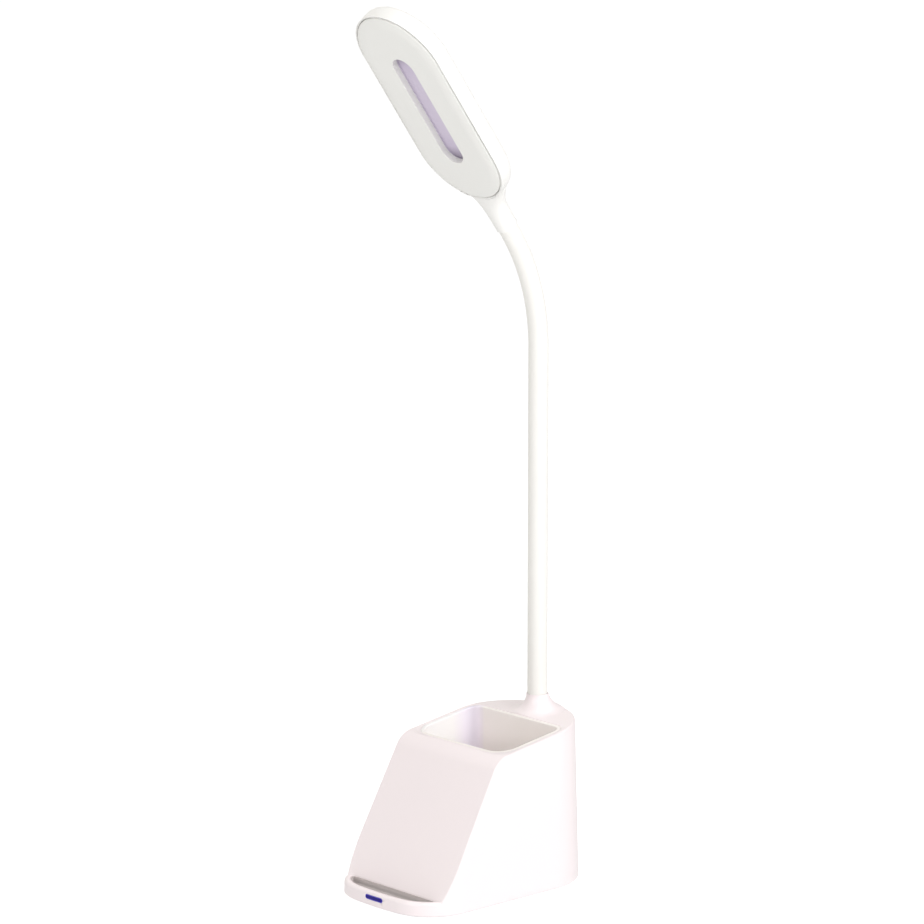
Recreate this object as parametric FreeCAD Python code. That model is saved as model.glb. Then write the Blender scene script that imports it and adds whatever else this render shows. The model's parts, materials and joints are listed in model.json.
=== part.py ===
import FreeCAD, Part
import math
import os

# Desk lamp: a base with a pen pocket and a sloped phone rest, a flexible neck and a flat oval head.
# All sizes are in millimetres. +Z is up, the phone rest faces -Y, and the origin is the centre of
# the base on the desk.

Vector = FreeCAD.Vector
UP = Vector(0, 0, 1)
ACROSS = Vector(1, 0, 0)
BACKWARDS = Vector(0, 1, 0)

# Driving dimensions of the base housing
base_width = 71.9
base_depth = 116.6
base_height = 78.0
front_end_half = 12.85
front_bow = 0.56
rear_end_half = 5.95
rear_bow = 3.2
draft_angle = 1.5
wall = 2.2
top_slope = 8.6
rear_slope = 4.8
top_bend_setback = 23.5
top_bend_radius = 15.0
rest_tilt = 29.0
rest_foot_setback = 12.6
rest_foot_height = 6.95
shoulder_radius = 12.0
edge_radius = 1.1

# Lip and groove that hold the phone's edge
lip_height = 7.4
lip_width = 2.75
lip_round = 1.7
groove_floor_height = 3.9
groove_floor_thickness = 0.9
groove_end_radius = 1.1
liner_thickness = 0.6
liner_drop = 0.5

# Pen pocket
pocket_side_setback = 6.65
pocket_front_setback = 6.3
pocket_neck_gap = 12.6
pocket_front_radius = 8.8
pocket_rear_radius = 4.5
pocket_floor_height = 24.5
pocket_floor_radius = 2.0
cup_wall = 1.2
cup_floor = 1.6
cup_gap = 0.2
flange_width = 0.8
flange_thickness = 0.9
flange_gap = 0.06
mouth_round = 0.6

# Bottom cover, screws and feet
foot_stand = 0.6
cover_thickness = 1.2
cover_step = 0.6
cover_setback = 0.8
cover_gap = 0.15
cover_pad_height = 1.2
screw_head_radius = 2.1
screw_head_height = 1.1
screw_radius = 1.25
screw_length = 9.0
screw_gap = 0.05
screw_play = 0.2
boss_radius = 3.2
boss_height = 13.0
boss_overlap = 0.5
front_screw_setback = 30.0
rear_screw_turn = 35.0
foot_radius = 4.0
foot_thickness = 1.2
foot_inset = 8.0
front_foot_turn = 45.0
rear_foot_turn = 60.0

# Battery, ballast and boards inside the base
cell_radius = 9.1
cell_side_gap = 14.85
cell_front_gap = 3.0
cell_rear_gap = 2.4
cell_lift = 0.4
cell_button_radius = 3.2
cell_button_height = 0.8
cradle_gap = 0.1
cradle_height = 6.5
cradle_width = 21.0
cradle_thickness = 2.0
cradle_inset = 9.0
contact_size = 10.0
contact_thickness = 0.5
contact_rib_thickness = 1.4
ballast_thickness = 9.0
ballast_cradle_gap = 5.5
ballast_side_gap = 5.95
ballast_front_gap = 6.0
ballast_rear_setback = 27.0
ballast_corner = 3.0
ballast_pin_radius = 2.0
ballast_pin_inset = 7.0
ballast_pin_gap = 0.2
board_side_gap = 13.95
board_length = 16.0
board_foot_gap = 3.7
board_lift = 1.5
board_thickness = 1.0
board_post_radius = 2.0
board_post_inset = 3.0
charge_chip_size = 5.0
charge_chip_height = 1.0
charge_chip_share = 0.70
charge_chip_inset = 8.5
dimmer_chip_width = 5.0
dimmer_chip_length = 4.0
dimmer_chip_height = 1.2
dimmer_chip_share = 0.30
dimmer_chip_inset = 7.0
coil_radius = 3.0
coil_height = 3.2
coil_share = 0.07
coil_inset = 9.0
capacitor_radius = 2.0
capacitor_height = 5.0
capacitor_share = 0.15
capacitor_inset = 13.0
plug_wall = 1.0
plug_length = 5.0
charger_width = 12.0
charger_length = 10.6
charger_lift = 4.6
charger_thickness = 1.0
charger_rear_gap = 2.5
socket_width = 8.94
socket_height = 3.2
socket_depth = 7.3
socket_skin = 0.35
socket_tongue_width = 6.7
socket_tongue_height = 0.7
socket_tongue_end_gap = 0.9
socket_recess = 0.6
socket_opening_gap = 0.35

# Indicator lens, its lamp and the touch plate
lens_length = 12.0
lens_height = 2.3
lens_level = 4.8
lens_face_depth = 1.0
lens_block_width = 9.0
lens_block_depth = 0.8
lens_block_top_gap = 0.4
lens_gap = 0.1
light_tongue_lift = 0.1
light_tongue_thickness = 0.8
led_gap = 0.4
led_width = 3.0
led_depth = 1.6
led_height = 1.3
touch_plate_width = 18.0
touch_plate_length = 9.0
touch_plate_thickness = 0.2
touch_plate_gap = 0.03

# Neck
neck_setback = 13.3
neck_radius = 4.75
core_radius = 3.2
core_bore = 1.5
sleeve_gap = 0.05
collar_height = 8.1
collar_radius = 5.2
collar_flare = 9.0
collar_foot_trim = 1.0
collar_foot_sink = 0.5
collar_rear_inset = 0.4
collar_rear_round = 0.4
collar_bore_gap = 0.1
collar_socket_depth = 6.2
neck_straight = 165.9
neck_bend_radius = 95.0
head_tilt = 36.3
neck_tail = 3.0
first_pivot = 12.0
last_pivot_back = 14.0
pivot_count = 8
pivot_sphere_radius = 6.5
pivot_gap = 0.25

# Ferrule, washer and nut under the collar
ferrule_head_radius = 4.8
ferrule_head_height = 3.4
ferrule_radius = 4.2
ferrule_length = 24.7
ferrule_gap = 0.1
boss_depth = 16.9
collar_boss_radius = 8.0
washer_thickness = 1.0
washer_radius = 7.6
nut_width = 13.0
nut_height = 5.0
core_tail = 1.0

# Cable
cable_radius = 1.1
cable_bend = 9.0
cable_side_share = 0.55
cable_run_height = 14.6
cable_board_inset = 9.5
cable_board_clearance = 0.4
cable_level_end = 5.0
cable_rise_end = 3.8
cable_turn_setback = 23.0
cable_turn_height = 20.0
cable_end_run = 12.0
cable_turn_share = 0.6
cable_straight_share = 1.1

# Head, in its own frame: z runs up its long axis from the neck's end, and y runs from the light
# panel to the back
stem_length = 20.5
head_front_depth = 6.1
head_back_depth = 5.0
panel_half_straight = 28.7
panel_radius = 24.07
panel_thickness = 3.0
panel_crown_radius = 18.5
panel_crown_reach = 6.0
panel_edge_round = 0.9
panel_seam = 0.35
panel_proud = 1.3
rim_width = 0.9
head_wall = 1.6
head_back_round = 4.5
seat_width = 1.3
slot_half_straight = 24.0
slot_radius = 6.5
slot_shift = 0.5
slot_depth = 3.6
slot_edge_round = 0.35
tray_margin = 2.5
tray_floor = 1.2
ring_edge_gap = 2.67
ring_tray_gap = 1.4
ring_gap = 2.8
ring_thickness = 1.0
chip_width = 2.8
chip_length = 3.5
chip_height = 0.8
chip_count = 26
head_post_radius = 1.9
head_post_edge_gap = 1.8
head_post_spread = 31.0
head_screw_radius = 0.8
head_screw_head_radius = 1.6
head_screw_head_height = 0.9
head_screw_length = 2.6
head_screw_gap = 0.05
stem_radius = 5.25
stem_bore_gap = 0.05
head_ferrule_wall = 0.75
head_ferrule_length = 12.0
head_core_length = 11.0
head_cable_bore = 2.4
head_cable_shift = 0.9
stem_level_shares = (0.0, 0.40, 0.72, 1.05, 1.45)
stem_width_shares = (1.0, 1.08, 1.45, 2.35, 3.25)
stem_depth_shares = (1.0, 0.99, 0.95, 0.89, 0.82)

# Cutting tools run this far past what they cut, and points closer than this count as the same
overrun = 5.0
nearness = 0.1

draft = math.tan(math.radians(draft_angle))
slope = math.tan(math.radians(top_slope))
slope_behind = math.tan(math.radians(rear_slope))
lean = math.tan(math.radians(rest_tilt))
front_face = -base_depth / 2
rear_face = base_depth / 2
front_corner_radius = base_width / 2 - front_end_half
rear_corner_radius = base_width / 2 - rear_end_half
rest_foot_y = front_face + rest_foot_setback
cover_top = foot_stand + cover_thickness
rim_bottom = foot_stand + cover_step
groove_underside = groove_floor_height - groove_floor_thickness
pocket_width = base_width - 2 * pocket_side_setback
top_bend_y = rear_face - top_bend_setback
neck_y = rear_face - neck_setback
pocket_rear = neck_y - pocket_neck_gap
cable_turn_y = neck_y - cable_turn_setback
ring_outer_radius = panel_radius - ring_edge_gap
ring_inner_radius = slot_radius + tray_margin + ring_tray_gap
chip_track_radius = (ring_outer_radius + ring_inner_radius) / 2


def rest_y(z, shift=0.0):
    """Y of the phone rest's plane at height z, moved inwards by shift."""
    return rest_foot_y + (z - rest_foot_height) * lean + shift / math.cos(math.radians(rest_tilt))


def rear_top_z(y, shift=0.0):
    """Height of the flatter top behind the pocket at y, moved inwards by shift."""
    return base_height + (y - rear_face) * slope_behind - shift / math.cos(math.radians(rear_slope))


def top_z(y, shift=0.0):
    """Height of the sloping top round the pocket at y, moved inwards by shift."""
    return rear_top_z(top_bend_y) + (y - top_bend_y) * slope - shift / math.cos(math.radians(top_slope))


def shoulder_corner(shift=0.0):
    """Where the phone rest's plane meets the top's plane, both moved inwards by shift."""
    rest_start = rest_y(0.0, shift)
    top_start = top_z(0.0, shift)
    z = (top_start + slope * rest_start) / (1 - slope * lean)
    return rest_start + lean * z, z


def bend_corner(shift=0.0):
    """Where the top round the pocket meets the flatter top behind it, both moved inwards by shift."""
    y = (rear_top_z(0.0, shift) - top_z(0.0, shift)) / (slope - slope_behind)
    return y, rear_top_z(y, shift)


def centre_top():
    """Height of the top where the neck stands."""
    return rear_top_z(neck_y)


pocket_front = shoulder_corner()[0] + pocket_front_setback
collar_top = centre_top() + collar_height
boss_bottom = centre_top() - boss_depth
neck_arc = neck_bend_radius * math.radians(head_tilt)
neck_length = neck_straight + neck_arc + neck_tail
core_bottom = boss_bottom - washer_thickness - nut_height - core_tail
board_width = base_width - 2 * board_side_gap
board_front = rest_foot_y + board_foot_gap
board_rear = board_front + board_length
cable_side = board_width / 2 * cable_side_share
cell_offset = base_width / 2 - cell_side_gap - cell_radius
cell_front = board_rear + cell_front_gap
ballast_side = cradle_width / 2 - cell_offset + ballast_cradle_gap
ballast_front = board_rear + ballast_front_gap
ballast_width = base_width / 2 - ballast_side_gap - ballast_side
ballast_length = rear_face - ballast_rear_setback - ballast_front


def segment(start, end):
    return Part.LineSegment(start, end).toShape()


def arc(start, middle, end):
    return Part.Arc(start, middle, end).toShape()


def unit(vector):
    return vector / vector.Length


def rounded_path(points, radii, closed=False):
    """Straight runs through the points, with a tangent arc of its own radius at each corner."""
    count = len(points)
    corners = range(count) if closed else range(1, count - 1)
    arcs = {}
    for i, radius in zip(corners, radii):
        to_before = unit(points[i - 1] - points[i])
        to_after = unit(points[(i + 1) % count] - points[i])
        half_angle = to_before.getAngle(to_after) / 2
        reach = radius / math.tan(half_angle)
        bulge = radius / math.sin(half_angle) - radius
        start = points[i] + to_before * reach
        middle = points[i] + unit(to_before + to_after) * bulge
        end = points[i] + to_after * reach
        arcs[i] = (start, middle, end)
    edges = []
    for i in range(count):
        if i in arcs:
            edges.append(arc(*arcs[i]))
        if i == count - 1 and not closed:
            break
        leave = arcs[i][2] if i in arcs else points[i]
        following = (i + 1) % count
        reach_next = arcs[following][0] if following in arcs else points[following]
        edges.append(segment(leave, reach_next))
    return edges


def prism(wire, direction):
    return Part.Face(wire).extrude(direction)


def block(x0, x1, y0, y1, z0, z1):
    return Part.makeBox(x1 - x0, y1 - y0, z1 - z0, Vector(x0, y0, z0))


def pocket_block(grow, z0, z1):
    """Upright block of the pocket's outline, larger by grow on every side."""
    half = pocket_width / 2 + grow
    y0 = pocket_front - grow
    y1 = pocket_rear + grow
    front = pocket_front_radius + grow
    rear = pocket_rear_radius + grow
    corners = [Vector(-half, y0, z0), Vector(half, y0, z0), Vector(half, y1, z0), Vector(-half, y1, z0)]
    return prism(Part.Wire(rounded_path(corners, (front, front, rear, rear), True)), UP * (z1 - z0))


def rod(radius, x, y, z0, z1):
    return Part.makeCylinder(radius, z1 - z0, Vector(x, y, z0), UP)


def side_prism(outline):
    """Solid of a side outline, a list of (y, z), that reaches past both sides of the base."""
    reach = base_width / 2 + overrun
    corners = [Vector(-reach, y, z) for y, z in outline]
    return prism(Part.makePolygon(corners + corners[:1]), ACROSS * (2 * reach))


def end_arcs(side, half, end_y, radius, bow):
    """Corner and end arcs of one end of the base's outline, tangent to each other and the sides."""
    span = half - radius
    big_radius = (span ** 2 + bow ** 2) / (2 * bow) + radius
    corner = Vector(span, end_y - side * (radius + bow), 0)
    centre = Vector(0, end_y - side * big_radius, 0)
    meet = centre + unit(corner - centre) * big_radius
    side_point = Vector(half, corner.y, 0)
    middle = corner + unit(unit(meet - corner) + ACROSS) * radius
    return side_point, middle, meet


def mirrored(point):
    return Vector(-point.x, point.y, point.z)


def plan_wire(z, inset=0.0):
    """Outline of the drafted base at height z, moved inwards by inset."""
    shrink = inset + z * draft
    half = base_width / 2 - shrink
    rear_side, rear_middle, rear_meet = end_arcs(
        1, half, rear_face - shrink, rear_corner_radius - shrink, rear_bow)
    front_side, front_middle, front_meet = end_arcs(
        -1, half, front_face + shrink, front_corner_radius - shrink, front_bow)
    edges = [
        segment(front_side, rear_side),
        arc(rear_side, rear_middle, rear_meet),
        arc(rear_meet, Vector(0, rear_face - shrink, 0), mirrored(rear_meet)),
        arc(mirrored(rear_meet), mirrored(rear_middle), mirrored(rear_side)),
        segment(mirrored(rear_side), mirrored(front_side)),
        arc(mirrored(front_side), mirrored(front_middle), mirrored(front_meet)),
        arc(mirrored(front_meet), Vector(0, front_face + shrink, 0), front_meet),
        arc(front_meet, front_middle, front_side),
    ]
    wire = Part.Wire(edges)
    wire.translate(UP * z)
    return wire


def plan_body(z0, z1, inset=0.0):
    """Solid between two heights inside the drafted outline."""
    return Part.makeLoft([plan_wire(z0, inset), plan_wire(z1, inset)], True, True)


def upper_profile(shift, low):
    """Face of the side view above low, behind the phone rest and under the top, moved inwards by shift."""
    reach = rear_face + overrun
    before = Vector(0, rest_y(low, shift), low)
    shoulder = Vector(0, *shoulder_corner(shift))
    bend = Vector(0, *bend_corner(shift))
    after = Vector(0, reach, rear_top_z(reach, shift))
    upper = rounded_path([before, shoulder, bend, after], (shoulder_radius - shift, top_bend_radius - shift))
    rear_low = Vector(0, reach, low)
    return Part.Face(Part.Wire(upper + [segment(after, rear_low), segment(rear_low, before)]))


def across_base(face):
    reach = base_width / 2 + overrun
    face.translate(ACROSS * -reach)
    return face.extrude(ACROSS * (2 * reach))


def top_edges(shape, profile):
    """Edges where the side walls meet the phone rest and the top."""
    found = []
    outline = profile.OuterWire
    for edge in shape.Edges:
        box = edge.BoundBox
        middle = edge.valueAt((edge.FirstParameter + edge.LastParameter) / 2)
        flat = Part.Vertex(Vector(0, middle.y, middle.z))
        on_profile = flat.distToShape(outline)[0] < nearness
        runs_across = box.YLength < nearness and box.ZLength < nearness
        if on_profile and not runs_across and box.ZMax > rim_bottom + nearness:
            found.append(edge)
    return found


def flare():
    """Foot of the neck: a post with a wide fillet down to the top behind the pocket."""
    foot_radius = collar_radius + collar_flare
    front = neck_y - foot_radius - overrun
    rear = neck_y + foot_radius + overrun
    slab = side_prism([(front, rear_top_z(front)), (rear, rear_top_z(rear)), (rear, boss_bottom),
                       (front, boss_bottom)])
    post = slab.fuse(rod(collar_radius, 0, neck_y, boss_bottom, collar_top + collar_flare))
    post = post.removeSplitter()
    root = [edge for edge in post.Edges if is_root(edge)]
    post = post.makeFillet(collar_flare, root)
    kept = rod(foot_radius - collar_foot_trim, 0, neck_y, boss_bottom, collar_top)
    low_front = rear_top_z(front) - collar_foot_sink
    low_rear = rear_top_z(rear) - collar_foot_sink
    high = collar_top + overrun
    above = side_prism([(front, low_front), (rear, low_rear), (rear, high), (front, high)])
    skirt = post.common(kept).common(above)
    skirt = skirt.common(plan_body(boss_bottom, collar_top + overrun, collar_rear_inset))
    ridge = rear_ridge(skirt)
    return skirt.makeFillet(collar_rear_round, ridge) if ridge else skirt


def is_root(edge):
    """True for the edge where the post leaves the sloping top."""
    box = edge.BoundBox
    wide = abs(box.XLength - 2 * collar_radius) < nearness
    return wide and box.ZMin > boss_bottom + nearness and box.ZMax < collar_top


def rear_ridge(skirt):
    """Edge where the base's rear face trims the neck's foot."""
    found = []
    for edge in skirt.Edges:
        middle = edge.valueAt((edge.FirstParameter + edge.LastParameter) / 2)
        behind = middle.y > neck_y + collar_radius
        above_top = middle.z > rear_top_z(middle.y) + nearness
        if behind and above_top and middle.z < collar_top - nearness:
            found.append(edge)
    return found


def screw_places():
    """Centres of the cover's screws, beside the side walls and in the rear corners."""
    shrink = boss_height * draft
    side = base_width / 2 - shrink - wall - boss_radius + boss_overlap
    reach = rear_corner_radius - shrink - wall - boss_radius + boss_overlap
    turn = math.radians(rear_screw_turn)
    centre_x = base_width / 2 - rear_corner_radius
    centre_y = rear_face - rear_bow - rear_corner_radius
    rear_x = centre_x + reach * math.cos(turn)
    rear_y = centre_y + reach * math.sin(turn)
    front_y = front_face + front_screw_setback
    return [(side, front_y), (-side, front_y), (rear_x, rear_y), (-rear_x, rear_y)]


def foot_places():
    """Centres of the rubber feet, on lines out of the outline's corner centres."""
    places = []
    for radius, bow, face, turn, side in (
        (front_corner_radius, front_bow, front_face, front_foot_turn, -1),
        (rear_corner_radius, rear_bow, rear_face, rear_foot_turn, 1),
    ):
        reach = radius - foot_inset
        angle = math.radians(turn)
        x = base_width / 2 - radius + reach * math.cos(angle)
        y = face - side * (radius + bow) + side * reach * math.sin(angle)
        places += [(x, y), (-x, y)]
    return places


def capsule(length, height, y, depth):
    """Upright capsule plate with its long side across, from y backwards by depth."""
    straight = (length - height) / 2
    radius = height / 2
    low_left = Vector(-straight, y, lens_level - radius)
    low_right = Vector(straight, y, lens_level - radius)
    high_left = Vector(-straight, y, lens_level + radius)
    high_right = Vector(straight, y, lens_level + radius)
    right = arc(low_right, Vector(straight + radius, y, lens_level), high_right)
    left = arc(high_left, Vector(-straight - radius, y, lens_level), low_left)
    edges = [segment(low_left, low_right), right, segment(high_right, high_left), left]
    return prism(Part.Wire(edges), BACKWARDS * depth)


def lens_shape(grow=0.0):
    """Indicator lens: a capsule window, the block behind it and the tongue back to its lamp."""
    face_y = front_face + lens_level * draft
    block_front = face_y + lens_face_depth
    block_back = block_front + lens_block_depth
    tongue_low = cover_top + light_tongue_lift
    tongue_high = tongue_low + light_tongue_thickness
    block_top = lens_level + lens_height / 2 - lens_block_top_gap
    half = lens_block_width / 2
    window = capsule(lens_length + 2 * grow, lens_height + 2 * grow, face_y - overrun,
                     overrun + lens_face_depth + grow)
    body = block(-half - grow, half + grow, block_front - grow, block_back + grow,
                 tongue_low - grow, block_top + grow)
    tongue = block(-half - grow, half + grow, block_front - grow, board_front - led_gap + grow,
                   tongue_low - grow, tongue_high + grow)
    return window.fuse(body).fuse(tongue)


def groove_shape(z0, z1, inset=0.0):
    """Space of the phone groove, between the lip's inside and the foot of the phone rest."""
    inner = plan_body(z0, z1, lip_width + inset)
    reach = base_width / 2
    front = front_face - overrun
    rear = rest_foot_y - inset
    shape = inner.common(block(-reach, reach, front, rear, z0, z1))
    corners = [edge for edge in shape.Edges
               if edge.BoundBox.ZLength > (z1 - z0) / 2 and edge.BoundBox.YMax > rear - nearness]
    return shape.makeFillet(groove_end_radius - inset, corners)


def base_housing():
    profile = upper_profile(0.0, rim_bottom)
    tall = plan_body(rim_bottom, base_height + overrun).common(across_base(profile.copy()))
    tall = tall.makeFillet(edge_radius, top_edges(tall, profile))
    low = plan_body(rim_bottom, lip_height)
    lip_edges = [edge for edge in low.Edges if edge.BoundBox.ZMin > lip_height - nearness]
    low = low.makeFillet(lip_round, lip_edges)
    shell = low.fuse(tall).fuse(flare())
    shell = shell.cut(cavity())
    shell = shell.cut(groove_shape(groove_floor_height, lip_height + overrun))
    shell = shell.fuse(neck_boss())
    for x, y in screw_places():
        pillar = rod(boss_radius, x, y, cover_top + cover_pad_height + cover_gap, boss_height)
        shell = shell.fuse(pillar.common(plan_body(rim_bottom, base_height)))
    for x, y in screw_places():
        shell = shell.cut(rod(screw_radius + screw_gap, x, y, rim_bottom, boss_height - screw_radius))
    shell = shell.cut(cup_space()).cut(neck_bores()).cut(lens_shape(lens_gap)).cut(socket_opening())
    return shell.removeSplitter()


def cavity():
    """Hollow inside the housing, which is low under the groove and high behind the phone rest."""
    reach = base_width / 2 + overrun
    front = front_face - overrun
    high = across_base(upper_profile(wall, groove_underside))
    foot = rest_foot_y + wall
    high = high.cut(block(-reach, reach, front, foot, groove_underside, rest_foot_height + overrun))
    low = block(-reach, reach, front, rear_face + overrun, rim_bottom - overrun, groove_underside)
    return plan_body(rim_bottom - overrun, base_height, wall).common(high.fuse(low))


def neck_boss():
    """Thick post under the top that the neck's ferrule is clamped in."""
    post = rod(collar_boss_radius, 0, neck_y, boss_bottom, base_height)
    return post.common(across_base(upper_profile(wall / 2, rim_bottom)))


def neck_bores():
    socket_floor = collar_top - collar_socket_depth
    head_floor = socket_floor - ferrule_head_height
    sleeve_hole = rod(neck_radius + collar_bore_gap, 0, neck_y, head_floor, collar_top + overrun)
    shank_hole = rod(ferrule_radius + ferrule_gap, 0, neck_y, boss_bottom - overrun, collar_top)
    return sleeve_hole.fuse(shank_hole)


def sloping_slab(low_shift, high_shift):
    """Slab between two offsets below the sloping top."""
    front = pocket_front - 2 * overrun
    rear = pocket_rear + 2 * overrun
    return side_prism([
        (front, top_z(front, low_shift)), (rear, top_z(rear, low_shift)),
        (rear, top_z(rear, high_shift)), (front, top_z(front, high_shift))])


def cup_space():
    """Opening in the housing's top for the cup, with the rebate for its flange."""
    high = base_height + overrun
    opening = pocket_block(cup_wall + cup_gap, pocket_floor_height - cup_floor - cup_gap, high)
    rebate = pocket_block(cup_wall + flange_width + flange_gap, pocket_floor_height, high)
    return opening.fuse(rebate.common(sloping_slab(flange_thickness, -overrun)))


def pen_cup():
    bottom = pocket_floor_height - cup_floor
    high = base_height + overrun
    deep = base_height - pocket_floor_height
    body = pocket_block(cup_wall, bottom, high).common(sloping_slab(deep, 0.0))
    lower = pocket_block(cup_wall, bottom, pocket_floor_height + overrun)
    flange = pocket_block(cup_wall + flange_width, pocket_floor_height, high)
    flange = flange.common(sloping_slab(flange_thickness, 0.0))
    inner = pocket_block(0.0, pocket_floor_height, high + overrun)
    floor_edges = [edge for edge in inner.Edges
                   if edge.BoundBox.ZMax < pocket_floor_height + nearness]
    inner = inner.makeFillet(pocket_floor_radius, floor_edges)
    cup = body.fuse(lower).fuse(flange).cut(inner).removeSplitter()
    return cup.makeFillet(mouth_round, mouth_edges(cup))


def mouth_edges(cup):
    """Edges of the pocket's mouth, where the flange's top meets the inner walls."""
    found = []
    for edge in cup.Edges:
        middle = edge.valueAt((edge.FirstParameter + edge.LastParameter) / 2)
        on_top = abs(middle.z - top_z(middle.y)) < nearness
        inside = abs(middle.x) < pocket_width / 2 + nearness
        if on_top and inside and pocket_front - nearness < middle.y < pocket_rear + nearness:
            found.append(edge)
    return found


def socket_centre():
    """Middle of the charging socket's mouth plane."""
    height = cover_top + charger_lift + charger_thickness + socket_height / 2
    return Vector(0, rear_face - height * draft - socket_recess, height)


def socket_plate(width, height, y0, y1):
    """Flat rounded bar along Y round the charging socket's middle line."""
    level = socket_centre().z
    radius = height / 2
    straight = width / 2 - radius
    low_left = Vector(-straight, y0, level - radius)
    low_right = Vector(straight, y0, level - radius)
    high_left = Vector(-straight, y0, level + radius)
    high_right = Vector(straight, y0, level + radius)
    right = arc(low_right, Vector(straight + radius, y0, level), high_right)
    left = arc(high_left, Vector(-straight - radius, y0, level), low_left)
    edges = [segment(low_left, low_right), right, segment(high_right, high_left), left]
    return prism(Part.Wire(edges), BACKWARDS * (y1 - y0))


def socket_opening():
    grow = 2 * socket_opening_gap
    mouth = socket_centre().y
    return socket_plate(socket_width + grow, socket_height + grow, mouth - wall - overrun, mouth + overrun)


def charging_socket():
    mouth = socket_centre().y
    back = mouth - socket_depth
    shell = socket_plate(socket_width, socket_height, back, mouth)
    skin = 2 * socket_skin
    inner = socket_plate(socket_width - skin, socket_height - skin, back + socket_skin, mouth + overrun)
    half = socket_tongue_width / 2
    level = socket_centre().z
    tongue = block(-half, half, back, mouth - socket_tongue_end_gap,
                   level - socket_tongue_height / 2, level + socket_tongue_height / 2)
    return shell.cut(inner).fuse(tongue).removeSplitter()


def charger_front():
    return socket_centre().y - charger_rear_gap - charger_length


def charging_board():
    mouth = socket_centre().y
    rear = mouth - charger_rear_gap
    low = cover_top + charger_lift
    half = charger_width / 2
    return block(-half, half, charger_front(), rear, low, low + charger_thickness)


def charging_posts():
    rear = socket_centre().y - charger_rear_gap
    x = charger_width / 2 - board_post_inset
    front_y = charger_front() + board_post_inset
    rear_y = rear - board_post_inset
    posts = [rod(board_post_radius, s * x, y, rim_bottom, cover_top + charger_lift)
             for s in (-1, 1) for y in (front_y, rear_y)]
    return posts


def bottom_cover():
    low = plan_body(foot_stand, rim_bottom, cover_setback)
    high = plan_body(rim_bottom, cover_top, wall + cover_gap)
    cover = low.fuse(high)
    for x, y in screw_places():
        pad = rod(boss_radius, x, y, rim_bottom, cover_top + cover_pad_height)
        cover = cover.fuse(pad.common(plan_body(rim_bottom, base_height, wall + cover_gap)))
    for post in board_posts() + charging_posts() + ballast_pins():
        cover = cover.fuse(post)
    for cradle in cell_cradles():
        cover = cover.fuse(cradle)
    sink = foot_stand + screw_head_height + screw_gap
    for x, y in screw_places():
        cover = cover.cut(rod(screw_head_radius + screw_play, x, y, foot_stand - overrun, sink))
        cover = cover.cut(rod(screw_radius + screw_play, x, y, foot_stand, cover_top + overrun))
    for x, y in foot_places():
        cover = cover.cut(rod(foot_radius + screw_play, x, y, foot_stand - overrun, foot_thickness))
    return cover.removeSplitter()


def cover_screws():
    screws = []
    head_bottom = foot_stand
    for x, y in screw_places():
        head = rod(screw_head_radius, x, y, head_bottom, head_bottom + screw_head_height)
        shank = rod(screw_radius, x, y, head_bottom + screw_head_height, head_bottom + screw_length)
        screws.append(head.fuse(shank).removeSplitter())
    return Part.makeCompound(screws)


def rubber_feet():
    feet = []
    for x, y in foot_places():
        pad = rod(foot_radius, x, y, 0.0, foot_thickness)
        feet.append(pad)
    return Part.makeCompound(feet)


def cell_level():
    return cover_top + cell_lift + cell_radius


def cell_rear():
    """Y of the cell's rear end, in front of the charging board."""
    return charger_front() - cell_rear_gap


def battery_cell():
    start = Vector(-cell_offset, cell_front, cell_level())
    length = cell_rear() - cell_front - cell_button_height
    body = Part.makeCylinder(cell_radius, length, start, BACKWARDS)
    button_start = start + BACKWARDS * length
    button = Part.makeCylinder(cell_button_radius, cell_button_height, button_start, BACKWARDS)
    return body.fuse(button).removeSplitter()


def battery_contacts():
    half = contact_size / 2
    low = cover_top
    high = cell_level() + half
    plates = []
    for y in (cell_front - contact_thickness, cell_rear()):
        plates.append(block(-cell_offset - half, -cell_offset + half, y, y + contact_thickness, low, high))
    return Part.makeCompound(plates)


def cell_cradles():
    """Saddles under the cell and the ribs behind its end contacts."""
    half = cradle_width / 2
    hollow = Part.makeCylinder(cell_radius + cradle_gap, cell_rear() - cell_front,
                               Vector(-cell_offset, cell_front, cell_level()), BACKWARDS)
    pieces = []
    for y in (cell_front + cradle_inset, cell_rear() - cradle_inset - cradle_thickness):
        saddle = block(-cell_offset - half, -cell_offset + half, y, y + cradle_thickness,
                       rim_bottom, cover_top + cradle_height)
        pieces.append(saddle.cut(hollow))
    reach = contact_size / 2
    front_rib = cell_front - contact_thickness - contact_rib_thickness
    rear_rib = cell_rear() + contact_thickness
    for y in (front_rib, rear_rib):
        pieces.append(block(-cell_offset - reach, -cell_offset + reach, y, y + contact_rib_thickness,
                            rim_bottom, cell_level()))
    return pieces


def ballast_pin_places():
    x = ballast_side + ballast_width / 2
    front = ballast_front + ballast_pin_inset
    rear = ballast_front + ballast_length - ballast_pin_inset
    return [(x, front), (x, rear)]


def ballast_pins():
    top = cover_top + ballast_thickness
    return [rod(ballast_pin_radius, x, y, rim_bottom, top) for x, y in ballast_pin_places()]


def ballast_plate():
    x0 = ballast_side
    x1 = ballast_side + ballast_width
    y0 = ballast_front
    y1 = ballast_front + ballast_length
    corners = [Vector(x0, y0, cover_top), Vector(x1, y0, cover_top), Vector(x1, y1, cover_top),
               Vector(x0, y1, cover_top)]
    radii = (ballast_corner,) * len(corners)
    plate = prism(Part.Wire(rounded_path(corners, radii, True)), UP * ballast_thickness)
    for x, y in ballast_pin_places():
        plate = plate.cut(rod(ballast_pin_radius + ballast_pin_gap, x, y, foot_stand, base_height))
    return plate


def board_low():
    return cover_top + board_lift


def board_top():
    return board_low() + board_thickness


def control_board():
    half = board_width / 2
    return block(-half, half, board_front, board_rear, board_low(), board_top())


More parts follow.
